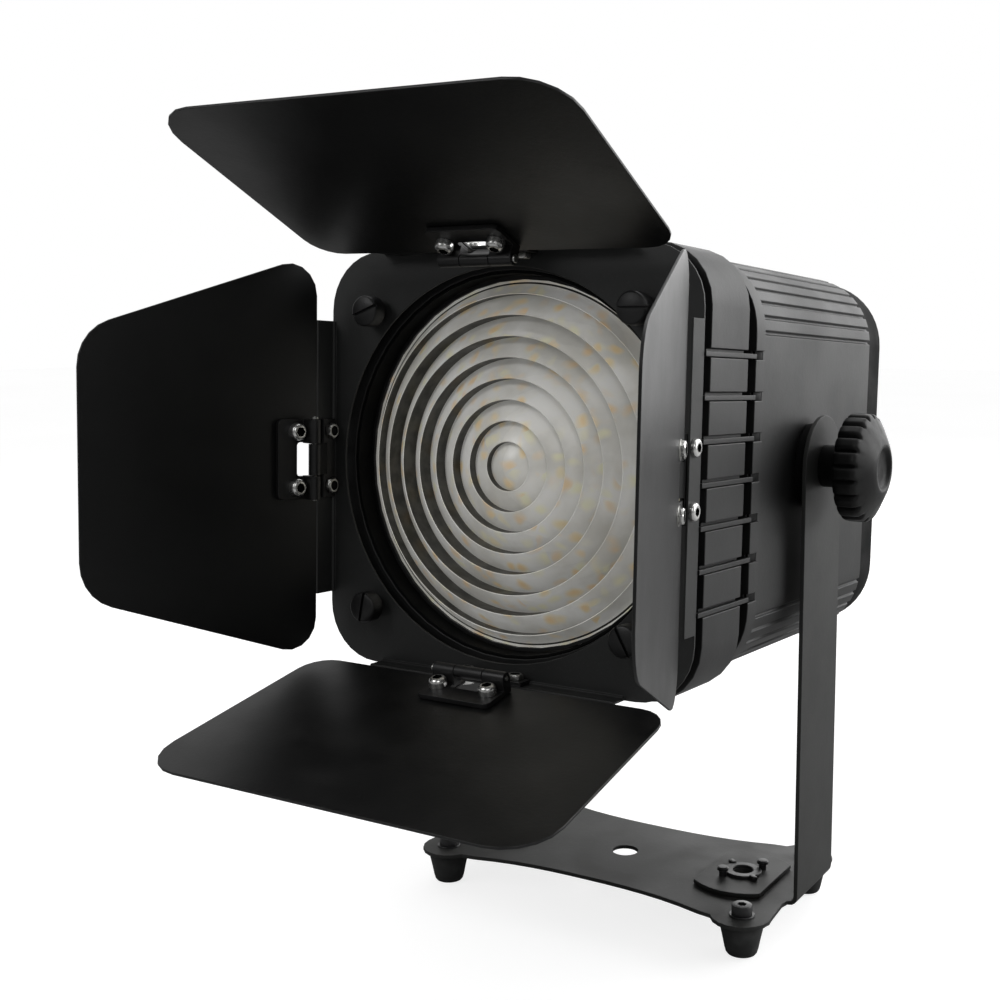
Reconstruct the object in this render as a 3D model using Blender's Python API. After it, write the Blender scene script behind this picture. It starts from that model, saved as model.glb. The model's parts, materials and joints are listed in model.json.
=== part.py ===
"""Fresnel spotlight: a lamp head with four barn doors, carried by a floor-standing yoke.

Units are metres. X runs across the lamp, Y runs from the lens to the rear, Z is up.
The head is modelled about its tilt axis: x across, y along the beam, z up. "Depth" is the
distance behind the front face of the barn-door frame plate.
"""
import math

import bmesh
import bpy
from mathutils import Matrix, Vector

# Overall layout
GAP = 0.0003                   # clearance left between pieces that touch
PIVOT_TO_PLATE = 0.157         # tilt axis to the front face of the door frame
TILT_UP = math.radians(2.8)    # the head is set nose up by this angle
PIVOT_OVER_BASE = 0.2626       # tilt axis above the yoke's base plate
BASE_TOP = 0.0236              # top of the base plate above the floor

# Housing
HEAD_HALF = 0.120              # half width of the bezel and the middle ring
BEZEL_CORNER = 0.033
BODY_HALF = 0.1185
BODY_CORNER = 0.044
BODY_WALL = 0.003
BEZEL_FRONT, BEZEL_REAR = 0.0075, 0.0555
MID_FRONT, MID_REAR = 0.0662, 0.0786
BODY_REAR = 0.262
REAR_RING_REAR = 0.290
REAR_RING_HALF, REAR_RING_CORNER = 0.1165, 0.043
REAR_OPENING_HALF, REAR_OPENING_CORNER = 0.108, 0.036
REAR_PANEL_T = 0.003
HEAD_WALL = 0.0045             # wall of the bezel and the middle ring
MID_BORE_R = 0.086
FRONT_WALL = 0.003
NOTCH_PITCH = 0.0221
NOTCH_COUNT = 7
NOTCH_WIDTH = 0.0047
NOTCH_DEPTH = 0.0028
NOTCH_SHIFT = 0.0030           # the notches of each side sit this far off its middle
RIBS = 8                       # ribs round each corner of the shell, with narrow grooves between
RIB_SECTION = ((0.0, 0.0), (0.68, 0.0), (0.75, 0.0016), (0.92, 0.0016))
PIVOT_BORE_R = 0.0055

# Lens: rings of sloping facets, each ended by a steep riser; radii and depths
LENS_R = 0.1050
LENS_CREST = 0.0068            # crests of the inner rings
OUTER_CRESTS = (0.0085, 0.0135)
LENS_VALLEY = 0.0200           # no facet falls deeper than this
LENS_RIM, LENS_BACK = 0.0220, 0.0273
RING_COUNT, FIRST_RING_R, RING_PITCH = 8, 0.0134, 0.0116
FACET_FALL, FACET_FALL_GROWTH = 0.0044, 0.00145
RISER_DRAFT = 0.0003
RETAINER_R, RETAINER_OUTER_R, RETAINER_FRONT = 0.1032, 0.1053, 0.0196
TUBE_R, TUBE_WALL = 0.1072, 0.0015
TUBE_LEDGE_R, TUBE_LEDGE_T = 0.0995, 0.0020

# Barn-door frame
PLATE_HALF = 0.119
PLATE_CORNER = 0.033
PLATE_T = 0.0015
APERTURE_R = 0.109
FLANGE_DEPTH = 0.012
LEFT_FLANGE_DEPTH = 0.0148     # the flange on the left reaches further forwards
FLANGE_HALF = 0.080
POST_OFFSET = 0.085
POST_FACE = 0.0144             # face of a post screw in front of the plate
POST_R, POST_HEAD_R, POST_HEAD_T = 0.0042, 0.0087, 0.0092

# Barn doors: u runs along the hinge, v away from it, w outwards from the beam
HINGE_RADIUS = 0.110           # hinge axis to the optical axis
HINGE_FORWARD = 0.0265         # hinge axis in front of the frame plate
PANEL_W = 0.0092               # inner face of a door, outside its hinge axis
PANEL_T = 0.0015
PANEL_BACK = -0.0078           # rear edge of a door, behind its hinge axis
DOOR_NOTCH_HALF = 0.0098
DOOR_NOTCH_END = 0.0078
LEAF_T = 0.0028
LEAF_BACK, LEAF_END = -0.0035, 0.0205
SCREW_U, SCREW_V, SCREW_HOLE_R = 0.016, 0.0088, 0.0027
FRAME_LEAF_T = 0.0022
KNUCKLE_R = 0.0035
PIN_R = 0.0013
HINGE_HALF = 0.023
MIDDLE_KNUCKLE_HALF = 0.0090
INNER_CORNER, OUTER_CORNER = 0.0175, 0.0260
SIDE_DOOR = {"inner": 0.1180, "outer": 0.0690, "length": 0.1380, "skew": 0.0}
TOP_DOOR = {"inner": 0.1115, "outer": 0.1140, "length": 0.1372, "skew": 1.8}
BOTTOM_DOOR = {"inner": 0.1158, "outer": 0.1195, "length": 0.1335, "skew": 0.0}
DOORS = {                      # side: (angle about the beam, opening past straight ahead, shape)
    "top": (0.0, 22.9, TOP_DOOR),
    "right": (90.0, 18.6, SIDE_DOOR),
    "bottom": (180.0, 13.6, BOTTOM_DOOR),
    "left": (-90.0, 15.0, SIDE_DOOR),
}

# Yoke
SHEET = 0.0025
ARM_INNER = 0.1255
ARM_HALF = 0.030
BEND_R = 0.003
BASE_CENTRE_Y = -0.0095
WAIST_HALF = 0.051
EAR_X, EAR_Y, EAR_R = 0.105, 0.053, 0.018
FOOT_X, FOOT_Y = 0.106, 0.053
FOOT_TOP_R, FOOT_BOTTOM_R = 0.0135, 0.0092
LOCK_X = 0.084

# Tilt knobs and friction pads
KNOB_LOBES = 21
KNOB_NECK_R, KNOB_SHANK_R = 0.0125, 0.0045
PAD_R, PAD_BORE_R = 0.0250, 0.0056

# Focus carriage
ROD_X, ROD_R = 0.095, 0.004
SCREW_Z = -0.064
CARRIAGE_DEPTH = 0.122         # front face of the carriage plate
CARRIAGE_T = 0.006
FIN_COUNT, FIN_T, FIN_LENGTH, FIN_BASE = 9, 0.0032, 0.040, 0.003
FIN_HALF, FIN_SPAN_HALF = 0.040, 0.044
FAN_HALF, FAN_DEPTH, FAN_BORE_R = 0.040, 0.020, 0.0375
FAN_BLADES = 7

# Rear panel: x to the right, y downwards
INLET_AT = (-0.062, 0.060)
DISPLAY_AT = (0.0, -0.058)
SOCKETS_AT = ((0.064, 0.028), (0.064, 0.066))
SOCKET_R, SOCKET_BORE_R = 0.0120, 0.0085
KEY_PITCH, KEY_Y, KEY_R = 0.024, -0.024, 0.0050


def remove_everything():
    for item in list(bpy.data.objects):
        bpy.data.objects.remove(item, do_unlink=True)


def material(name, color, roughness, metallic):
    """One Principled material; a name that is asked for twice is shared."""
    if name in bpy.data.materials:
        return bpy.data.materials[name]
    made = bpy.data.materials.new(name)
    made.use_nodes = True
    shader = made.node_tree.nodes["Principled BSDF"]
    shader.inputs["Base Color"].default_value = (*color, 1.0)
    shader.inputs["Roughness"].default_value = roughness
    shader.inputs["Metallic"].default_value = metallic
    return made


def black_paint():
    return material("black_powder_coat", (0.022, 0.023, 0.025), 0.55, 0.0)


def black_cast():
    return material("black_cast_metal", (0.015, 0.015, 0.016), 0.5, 0.0)


def black_plastic():
    return material("black_plastic", (0.02, 0.02, 0.021), 0.4, 0.0)


def rubber():
    return material("black_rubber", (0.018, 0.018, 0.018), 0.8, 0.0)


def steel():
    return material("bright_steel", (0.62, 0.62, 0.60), 0.25, 1.0)


def aluminium():
    return material("plain_aluminium", (0.6, 0.6, 0.6), 0.4, 1.0)


def clear_glass():
    return material("clear_glass", (0.92, 0.95, 0.93), 0.05, 0.0)


def board_green():
    return material("circuit_board", (0.03, 0.09, 0.05), 0.5, 0.0)


def led_yellow():
    return material("led_phosphor", (0.85, 0.68, 0.22), 0.4, 0.0)


def empty(name, parent, matrix):
    """A parent empty; matrix places it in its parent's frame."""
    item = bpy.data.objects.new(name, None)
    bpy.context.scene.collection.objects.link(item)
    item.parent = parent
    item.matrix_local = matrix
    return item


def finish_mesh(bm, name, parent, matrix, look, smooth=30.0):
    """Turn a bmesh into a named object in its parent's frame, with round parts shaded smooth."""
    bmesh.ops.recalc_face_normals(bm, faces=bm.faces)
    mesh = bpy.data.meshes.new(name)
    bm.to_mesh(mesh)
    bm.free()
    mesh.shade_smooth()
    mesh.set_sharp_from_angle(angle=math.radians(smooth))
    mesh.materials.append(look)
    item = bpy.data.objects.new(name, mesh)
    bpy.context.scene.collection.objects.link(item)
    item.parent = parent
    item.matrix_local = matrix
    return item


def arc(cx, cy, radius, start, end, steps):
    """Points along a circle from start to end, in degrees."""
    angles = [math.radians(start + (end - start) * k / steps) for k in range(steps + 1)]
    return [(cx + radius * math.cos(a), cy + radius * math.sin(a)) for a in angles]


def circle(cx, cy, radius, steps):
    return arc(cx, cy, radius, 0.0, 360.0, steps)[:-1]


def rectangle(cx, cy, width, height):
    x, y = width / 2, height / 2
    return [(cx - x, cy - y), (cx + x, cy - y), (cx + x, cy + y), (cx - x, cy + y)]


def filleted(corners, steps=5):
    """A closed outline whose corners (x, y, radius) are rounded."""
    points = []
    count = len(corners)
    for k, (x, y, radius) in enumerate(corners):
        here = Vector((x, y))
        if radius == 0.0:
            points.append((x, y))
            continue
        before = (Vector(corners[k - 1][:2]) - here).normalized()
        after = (Vector(corners[(k + 1) % count][:2]) - here).normalized()
        half = before.angle(after) / 2
        centre = here + (before + after).normalized() * radius / math.sin(half)
        first = here + before * radius / math.tan(half) - centre
        last = here + after * radius / math.tan(half) - centre
        turn = first.angle_signed(last)
        for step in range(steps + 1):
            point = centre + Matrix.Rotation(-turn * step / steps, 2) @ first
            points.append((point.x, point.y))
    return points


def square_outline(half, corner, corner_steps=8, notches=0, ribs=0):
    """A rounded square. Each side may carry notches, each corner may be cut by grooves."""
    side = []
    if notches:
        for k in range(notches):
            middle = (k - (notches - 1) / 2) * NOTCH_PITCH + NOTCH_SHIFT
            low, high = middle - NOTCH_WIDTH / 2, middle + NOTCH_WIDTH / 2
            side += [(half, low), (half - NOTCH_DEPTH, low), (half - NOTCH_DEPTH, high), (half, high)]
    inner = half - corner
    if ribs:
        bend = []
        share = 90.0 / ribs
        for k in range(ribs):
            for part, sink in RIB_SECTION:
                angle = math.radians(share * (k + part))
                reach = corner - sink
                bend.append((inner + reach * math.cos(angle), inner + reach * math.sin(angle)))
        bend.append((inner, half))
    else:
        bend = arc(inner, inner, corner, 0.0, 90.0, corner_steps)
    quarter = side + bend
    points = []
    for turn in range(4):
        spin = Matrix.Rotation(math.radians(90.0 * turn), 2)
        points += [tuple(spin @ Vector(p)) for p in quarter]
    return points


def filled(loops):
    """A bmesh holding the flat region inside the first loop and outside the others."""
    bm = bmesh.new()
    edges = []
    for loop in loops:
        corners = [bm.verts.new((x, y, 0.0)) for x, y in loop]
        for k, corner in enumerate(corners):
            edges.append(bm.edges.new((corner, corners[(k + 1) % len(corners)])))
    bmesh.ops.triangle_fill(bm, edges=edges, use_beauty=True, normal=(0.0, 0.0, 1.0))
    return bm


def extruded(name, loops, start, end, parent, matrix, look, smooth=30.0):
    """A flat outline with holes, drawn in local XY and extruded from start to end along local Z."""
    bm = filled(loops)
    bmesh.ops.translate(bm, verts=bm.verts, vec=(0.0, 0.0, start))
    raised = bmesh.ops.extrude_face_region(bm, geom=bm.faces[:])["geom"]
    verts = [v for v in raised if isinstance(v, bmesh.types.BMVert)]
    bmesh.ops.translate(bm, verts=verts, vec=(0.0, 0.0, end - start))
    return finish_mesh(bm, name, parent, matrix, look, smooth)


def lofted(name, rings, parent, matrix, look, smooth=30.0):
    """A solid skin over rings of equal point counts; a ring of one point closes to a tip."""
    bm = bmesh.new()
    rows = [[bm.verts.new(p) for p in ring] for ring in rings]
    for low, high in zip(rows, rows[1:]):
        count = max(len(low), len(high))
        for k in range(count):
            m = (k + 1) % count
            if len(low) == 1:
                bm.faces.new((low[0], high[k], high[m]))
            elif len(high) == 1:
                bm.faces.new((low[k], low[m], high[0]))
            else:
                bm.faces.new((low[k], low[m], high[m], high[k]))
    for row in (rows[0], rows[-1]):
        if len(row) > 2:
            bm.faces.new(row)
    return finish_mesh(bm, name, parent, matrix, look, smooth)


def turned(name, profile, steps, parent, matrix, look, smooth=30.0):
    """A solid turned about local Z from (radius, height) points."""
    rings = []
    for radius, height in profile:
        if radius == 0.0:
            rings.append([(0.0, 0.0, height)])
        else:
            rings.append([(x, y, height) for x, y in circle(0.0, 0.0, radius, steps)])
    return lofted(name, rings, parent, matrix, look, smooth)


def turned_ring(name, profile, steps, parent, matrix, look, smooth=30.0):
    """A ring turned about local Z from a closed (radius, height) profile."""
    bm = bmesh.new()
    rows = []
    for k in range(steps):
        angle = 2 * math.pi * k / steps
        rows.append([bm.verts.new((r * math.cos(angle), r * math.sin(angle), h)) for r, h in profile])
    for k, row in enumerate(rows):
        following = rows[(k + 1) % steps]
        for i in range(len(profile)):
            j = (i + 1) % len(profile)
            bm.faces.new((row[i], row[j], following[j], following[i]))
    return finish_mesh(bm, name, parent, matrix, look, smooth)


def block(name, size, centre, parent, matrix, look, bevel=0.0):
    """A box with an optional bevel, centred at a point of its parent's frame."""
    bm = bmesh.new()
    bmesh.ops.create_cube(bm, size=1.0)
    bmesh.ops.scale(bm, vec=size, verts=bm.verts)
    bmesh.ops.translate(bm, vec=centre, verts=bm.verts)
    if bevel:
        bmesh.ops.bevel(bm, geom=bm.edges[:], offset=bevel, segments=1, affect="EDGES")
    return finish_mesh(bm, name, parent, matrix, look)


def cutter(item):
    item.hide_render = True
    item.display_type = "WIRE"
    return item


def boolean(target, tool, operation):
    """Add a Boolean with a hidden tool object."""
    change = target.modifiers.new(operation.lower() + "_" + tool.name, "BOOLEAN")
    change.operation = operation
    change.object = cutter(tool)
    return target


def facing(direction, origin=(0.0, 0.0, 0.0)):
    """Matrix whose local Z points along direction; local X stays horizontal."""
    turn = {"rear": Matrix.Rotation(math.radians(-90), 4, "X"),
            "front": Matrix.Rotation(math.radians(90), 4, "X"),
            "right": Matrix.Rotation(math.radians(90), 4, "Y"),
            "left": Matrix.Rotation(math.radians(-90), 4, "Y"),
            "up": Matrix.Identity(4)}[direction]
    return Matrix.Translation(origin) @ turn


def along_beam(depth=0.0, x=0.0, z=0.0):
    """A frame in the head whose local Z runs to the rear, starting at a depth behind the plate.

    Local X is +X. Local Y is -Z, which only matters to outlines that aren't symmetric.
    """
    return facing("rear", (x, depth - PIVOT_TO_PLATE, z))


# ---------------------------------------------------------------- housing

def make_housing(head):
    start = along_beam()
    bezel = [square_outline(HEAD_HALF, BEZEL_CORNER, 6, NOTCH_COUNT), circle(0, 0, TUBE_R + GAP, 48)]
    front = extruded("front_bezel", bezel, BEZEL_FRONT, BEZEL_REAR, head, start, black_paint())
    hollow = [square_outline(HEAD_HALF - HEAD_WALL, BEZEL_CORNER - HEAD_WALL, corner_steps=5)]
    cavity = extruded("bezel_cavity", hollow, BEZEL_FRONT + FRONT_WALL, BEZEL_REAR + 0.01, head, start,
                      black_paint())
    boolean(front, cavity, "DIFFERENCE")
    outline = square_outline(HEAD_HALF, BODY_CORNER, 12, NOTCH_COUNT)
    middle = [outline, circle(0, 0, MID_BORE_R, 48)]
    ring = extruded("mid_ring", middle, MID_FRONT, MID_REAR, head, start, black_paint())
    hollow = [square_outline(HEAD_HALF - HEAD_WALL, BODY_CORNER - HEAD_WALL, corner_steps=5)]
    cavity = extruded("ring_cavity", hollow, MID_FRONT + FRONT_WALL, MID_REAR + 0.01, head, start,
                      black_paint())
    boolean(ring, cavity, "DIFFERENCE")

    inner_half = BODY_HALF - BODY_WALL
    inside = square_outline(inner_half, BODY_CORNER - BODY_WALL, corner_steps=6)
    shell = [square_outline(BODY_HALF, BODY_CORNER, ribs=RIBS), inside]
    body = extruded("housing_shell", shell, MID_REAR + GAP, BODY_REAR, head, start, black_paint())
    bore = turned("pivot_bore", [(PIVOT_BORE_R, -0.15), (PIVOT_BORE_R, 0.15)], 16, head, facing("right"),
                  steel())
    boolean(body, bore, "DIFFERENCE")

    outline = square_outline(REAR_RING_HALF, REAR_RING_CORNER, 12)
    rear = [outline, square_outline(REAR_OPENING_HALF, REAR_OPENING_CORNER, corner_steps=6)]
    extruded("rear_ring", rear, BODY_REAR + GAP, REAR_RING_REAR, head, start, black_cast())


def lens_front():
    """(radius, depth) points of the stepped face, from the middle outwards."""
    crests = [LENS_CREST] * (RING_COUNT - len(OUTER_CRESTS)) + list(OUTER_CRESTS)
    points = [(0.0, LENS_CREST)]
    for ring, crest in enumerate(crests):
        radius = FIRST_RING_R + RING_PITCH * ring
        valley = min(points[-1][1] + FACET_FALL + FACET_FALL_GROWTH * ring, LENS_VALLEY)
        points += [(radius, valley), (radius + RISER_DRAFT, crest)]
    return points + [(RETAINER_R - 0.0020, LENS_RIM), (LENS_R, LENS_RIM)]


def make_lens(head):
    start = along_beam()
    front, back = BEZEL_FRONT + 0.0008, MID_FRONT - GAP
    inner = TUBE_R - TUBE_WALL
    seat = LENS_BACK + GAP
    ledge = seat + TUBE_LEDGE_T
    tube = [(TUBE_R, front), (TUBE_R, back), (inner, back), (inner, ledge), (TUBE_LEDGE_R, ledge),
            (TUBE_LEDGE_R, seat), (inner, seat), (inner, front)]
    turned_ring("lens_tube", tube, 48, head, start, black_paint())
    turned("fresnel_lens", lens_front() + [(LENS_R, LENS_BACK), (0.0, LENS_BACK)], 40, head, start,
           clear_glass())
    rear = LENS_RIM - GAP
    retainer = [(RETAINER_R, RETAINER_FRONT), (RETAINER_OUTER_R, RETAINER_FRONT), (RETAINER_OUTER_R, rear),
                (RETAINER_R, rear)]
    turned_ring("lens_retainer", retainer, 40, head, start, black_cast())


# ---------------------------------------------------------------- barn doors

def side_frame(angle):
    """A frame on one side of the beam: x along the hinge, y forwards, z away from the beam."""
    turn = Matrix.Rotation(math.radians(angle), 4, "Y")
    return turn @ Matrix.Translation((0, -PIVOT_TO_PLATE, 0)) @ Matrix.Rotation(math.pi, 4, "Z")


def make_door_frame(head):
    """A plate with a round aperture and a flange folded forwards along each side."""
    holes = [circle(0, 0, APERTURE_R, 64)]
    for x in (-POST_OFFSET, POST_OFFSET):
        for z in (-POST_OFFSET, POST_OFFSET):
            holes.append(circle(x, z, 0.0048, 12))
    outline = square_outline(PLATE_HALF, PLATE_CORNER)
    plate = extruded("door_frame", [outline] + holes, 0.0, PLATE_T, head, along_beam(), black_paint())
    out = PLATE_HALF
    inside = out - PLATE_T
    root = [(-0.0010, out), (-0.0010, inside - 0.001), (0.001, inside - 0.001), (0.002, inside)]
    for side, (angle, _, _) in DOORS.items():
        depth = LEFT_FLANGE_DEPTH if side == "left" else FLANGE_DEPTH
        profile = root + [(depth, inside), (depth, out)]
        section = [[(u, y, z) for y, z in profile] for u in (-FLANGE_HALF, FLANGE_HALF)]
        flange = lofted("flange_" + side, section, head, side_frame(angle), black_paint())
        boolean(plate, flange, "UNION")


def make_posts(head):
    """Slotted post screws that hold the door frame to the bezel."""
    head_back = -POST_FACE + POST_HEAD_T
    foot = BEZEL_FRONT - GAP
    index = 0
    for x in (-POST_OFFSET, POST_OFFSET):
        for z in (POST_OFFSET, -POST_OFFSET):
            index += 1
            place = along_beam(x=x, z=z)
            profile = [(POST_R, foot), (POST_R, head_back), (POST_HEAD_R, head_back),
                       (POST_HEAD_R, -POST_FACE + 0.001), (POST_HEAD_R - 0.001, -POST_FACE)]
            post = turned("post_screw_%d" % index, profile, 16, head, place, black_cast())
            turn = Matrix.Rotation(math.radians(20.0 + 40.0 * index), 4, "Z")
            slot = block("slot_%d" % index, (0.03, 0.0016, 0.004), (0, 0, -POST_FACE), head,
                         place @ turn, black_cast())
            boolean(post, slot, "DIFFERENCE")


def make_barn_doors(head):
    for side, (angle, opening, shape) in DOORS.items():
        fixed = empty("frame_" + side, head, side_frame(angle))
        axis = Matrix.Translation((0.0, HINGE_FORWARD, HINGE_RADIUS))
        swing = empty("hinge_" + side, fixed, axis @ Matrix.Rotation(math.radians(opening), 4, "X"))
        make_door(side, swing, shape)
        make_door_leaf(side, swing)
        make_frame_leaf(side, fixed)
        pin = [(PIN_R * 1.7, -HINGE_HALF - 0.0016), (PIN_R * 1.7, -HINGE_HALF - GAP),
               (PIN_R, -HINGE_HALF - GAP), (PIN_R, HINGE_HALF + 0.0006)]
        turned("hinge_pin_" + side, pin, 12, fixed, axis @ facing("right"), steel())


def make_door(side, swing, shape):
    inner, outer = shape["inner"], shape["outer"]
    back, end = PANEL_BACK, shape["length"]
    half = DOOR_NOTCH_HALF
    outline = filleted([
        (-inner, back, INNER_CORNER), (-half, back, 0.0), (-half, DOOR_NOTCH_END, 0.002),
        (half, DOOR_NOTCH_END, 0.002), (half, back, 0.0), (inner, back, INNER_CORNER),
        (outer, end, OUTER_CORNER), (-outer, end, OUTER_CORNER)])
    turn = Matrix.Rotation(math.radians(shape["skew"]), 4, "Z")
    extruded("barn_door_" + side, [outline], PANEL_W, PANEL_W + PANEL_T, swing, turn, black_paint())


def knuckle_loops(top, half, start, end, steps):
    """Section of a knuckle on its arm, with the bore for the hinge pin."""
    outline = [(half, top)] + arc(0, 0, KNUCKLE_R, start, end, steps) + [(-half, top)]
    return [outline, circle(0, 0, PIN_R + GAP, 12)]


def across_beam():
    """Turns an outline drawn in XY into the YZ plane, so that it is extruded along X."""
    return Matrix.Rotation(math.radians(90), 4, "Z") @ Matrix.Rotation(math.radians(90), 4, "X")


def make_door_leaf(side, swing):
    """The leaf under the door, with the two outer knuckles."""
    high = PANEL_W - GAP
    low = high - LEAF_T
    half = DOOR_NOTCH_HALF
    plate = [(-HINGE_HALF, LEAF_BACK, 0.0), (-half, LEAF_BACK, 0.0), (-half, DOOR_NOTCH_END, 0.002),
             (half, DOOR_NOTCH_END, 0.002), (half, LEAF_BACK, 0.0), (HINGE_HALF, LEAF_BACK, 0.0),
             (HINGE_HALF, LEAF_END, 0.003), (-HINGE_HALF, LEAF_END, 0.003)]
    holes = [circle(x, SCREW_V, SCREW_HOLE_R, 12) for x in (-SCREW_U, SCREW_U)]
    leaf = extruded("door_leaf_" + side, [filleted(plate, 2)] + holes, low, high, swing,
                    Matrix.Identity(4), black_cast())
    loops = knuckle_loops(low + 0.001, KNUCKLE_R, 0, -180, 8)
    for name, start, end in (("near", -HINGE_HALF, -MIDDLE_KNUCKLE_HALF - GAP),
                             ("far", MIDDLE_KNUCKLE_HALF + GAP, HINGE_HALF)):
        arm = extruded("knuckle_%s_%s" % (name, side), loops, start, end, swing, across_beam(), black_cast())
        boolean(leaf, arm, "UNION")


def make_frame_leaf(side, fixed):
    """The leaf inside the frame's flange, with the middle knuckle on a slanted arm."""
    outer = PLATE_HALF - PLATE_T - GAP
    inner = outer - FRAME_LEAF_T
    front, back = FLANGE_DEPTH + 0.0004, 0.0026
    section = [(back, inner), (front, inner), (front, outer), (back, outer)]
    rings = [[(u, y, z) for y, z in section] for u in (-HINGE_HALF, HINGE_HALF)]
    leaf = lofted("frame_leaf_" + side, rings, fixed, Matrix.Identity(4), black_cast())
    rise = (inner + outer) / 2 - HINGE_RADIUS
    run = HINGE_FORWARD - front + FRAME_LEAF_T
    lean = Matrix.Rotation(math.atan2(run, rise), 4, "X")
    loops = knuckle_loops(math.hypot(rise, run), 0.0015, 65, -245, 12)
    place = Matrix.Translation((0.0, HINGE_FORWARD, HINGE_RADIUS)) @ lean @ across_beam()
    arm = extruded("middle_knuckle_" + side, loops, -MIDDLE_KNUCKLE_HALF, MIDDLE_KNUCKLE_HALF, fixed,
                   place, black_cast())
    boolean(leaf, arm, "UNION")


# ---------------------------------------------------------------- light engine

def fin_outline():
    """Comb of cooling fins on a thin base, along local X."""
    pitch = 2 * FIN_SPAN_HALF / FIN_COUNT
    comb = [(FIN_SPAN_HALF, 0.0)]
    for k in range(FIN_COUNT, 0, -1):
        right = -FIN_SPAN_HALF + pitch * k
        left = right - FIN_T
        comb += [(right, FIN_LENGTH), (left, FIN_LENGTH), (left, FIN_BASE)]
        if k > 1:
            comb.append((right - pitch, FIN_BASE))
    return comb + [(-FIN_SPAN_HALF, FIN_BASE), (-FIN_SPAN_HALF, 0.0)]


def fan_blades():
    points = []
    for k in range(FAN_BLADES):
        angle = 360.0 * k / FAN_BLADES
        points += arc(0, 0, 0.014, angle, angle + 18, 1) + arc(0, 0, 0.0358, angle + 8, angle + 36, 3)
    return points


def make_focus_carriage(head):
    depth = CARRIAGE_DEPTH
    start = along_beam()
    plate = [filleted([(-0.104, -0.075, 0.008), (0.104, -0.075, 0.008), (0.104, 0.075, 0.008),
                       (-0.104, 0.075, 0.008)], 3)]
    plate += [circle(x, 0, ROD_R + 0.0005, 16) for x in (-ROD_X, ROD_X)]
    plate.append(circle(0, -SCREW_Z, 0.0050, 16))
    sink = extruded("heat_sink", plate, depth, depth + CARRIAGE_T, head, start, aluminium())
    fin_start = depth + CARRIAGE_T - 0.0005
    stand = Matrix.Translation((0.0, fin_start - PIVOT_TO_PLATE, 0.0))
    fins = extruded("fins", [fin_outline()], -FIN_HALF, FIN_HALF, head, stand, aluminium())
    boolean(sink, fins, "UNION")
    board_t, board_side = 0.002, 0.092
    board_back = depth - GAP
    block("led_board", (board_side, board_t, board_side), (0, board_back - board_t / 2 - PIVOT_TO_PLATE, 0),
          head, Matrix.Identity(4), board_green())
    foot = board_back - board_t - GAP
    array = [(0.0, foot), (0.040, foot), (0.040, foot - 0.002), (0.037, foot - 0.003), (0.0, foot - 0.003)]
    turned("led_array", array, 24, head, start, led_yellow())

    fan_front = fin_start + FIN_LENGTH + GAP
    side = FAN_HALF
    corners = [(-side, -side), (side, -side), (side, side), (-side, side)]
    frame = filleted([(x, y, 0.004) for x, y in corners], 2)
    extruded("fan_frame", [frame, circle(0, 0, FAN_BORE_R, 32)], fan_front, fan_front + FAN_DEPTH, head,
             start, black_plastic())
    extruded("fan_rotor", [fan_blades()], 0.003, FAN_DEPTH - 0.003, head, along_beam(fan_front),
             black_plastic())

    rod = [(ROD_R, MID_REAR + GAP), (ROD_R, BODY_REAR + 0.0004)]
    for side, x in (("left", -ROD_X), ("right", ROD_X)):
        turned("guide_rod_" + side, rod, 16, head, along_beam(x=x), steel())
    screw = [(ROD_R, MID_REAR + 0.008), (ROD_R, BODY_REAR + 0.0100)]
    turned("focus_screw", screw, 16, head, along_beam(z=SCREW_Z), steel())


def scalloped(radius, depth, lobes, height, per_lobe=4):
    """A ring of points whose radius dips between its lobes."""
    points = []
    count = lobes * per_lobe
    for k in range(count):
        angle = 2 * math.pi * k / count
        dip = depth * (0.5 - 0.5 * math.cos(lobes * angle)) ** 3
        points.append(((radius - dip) * math.cos(angle), (radius - dip) * math.sin(angle), height))
    return points


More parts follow.
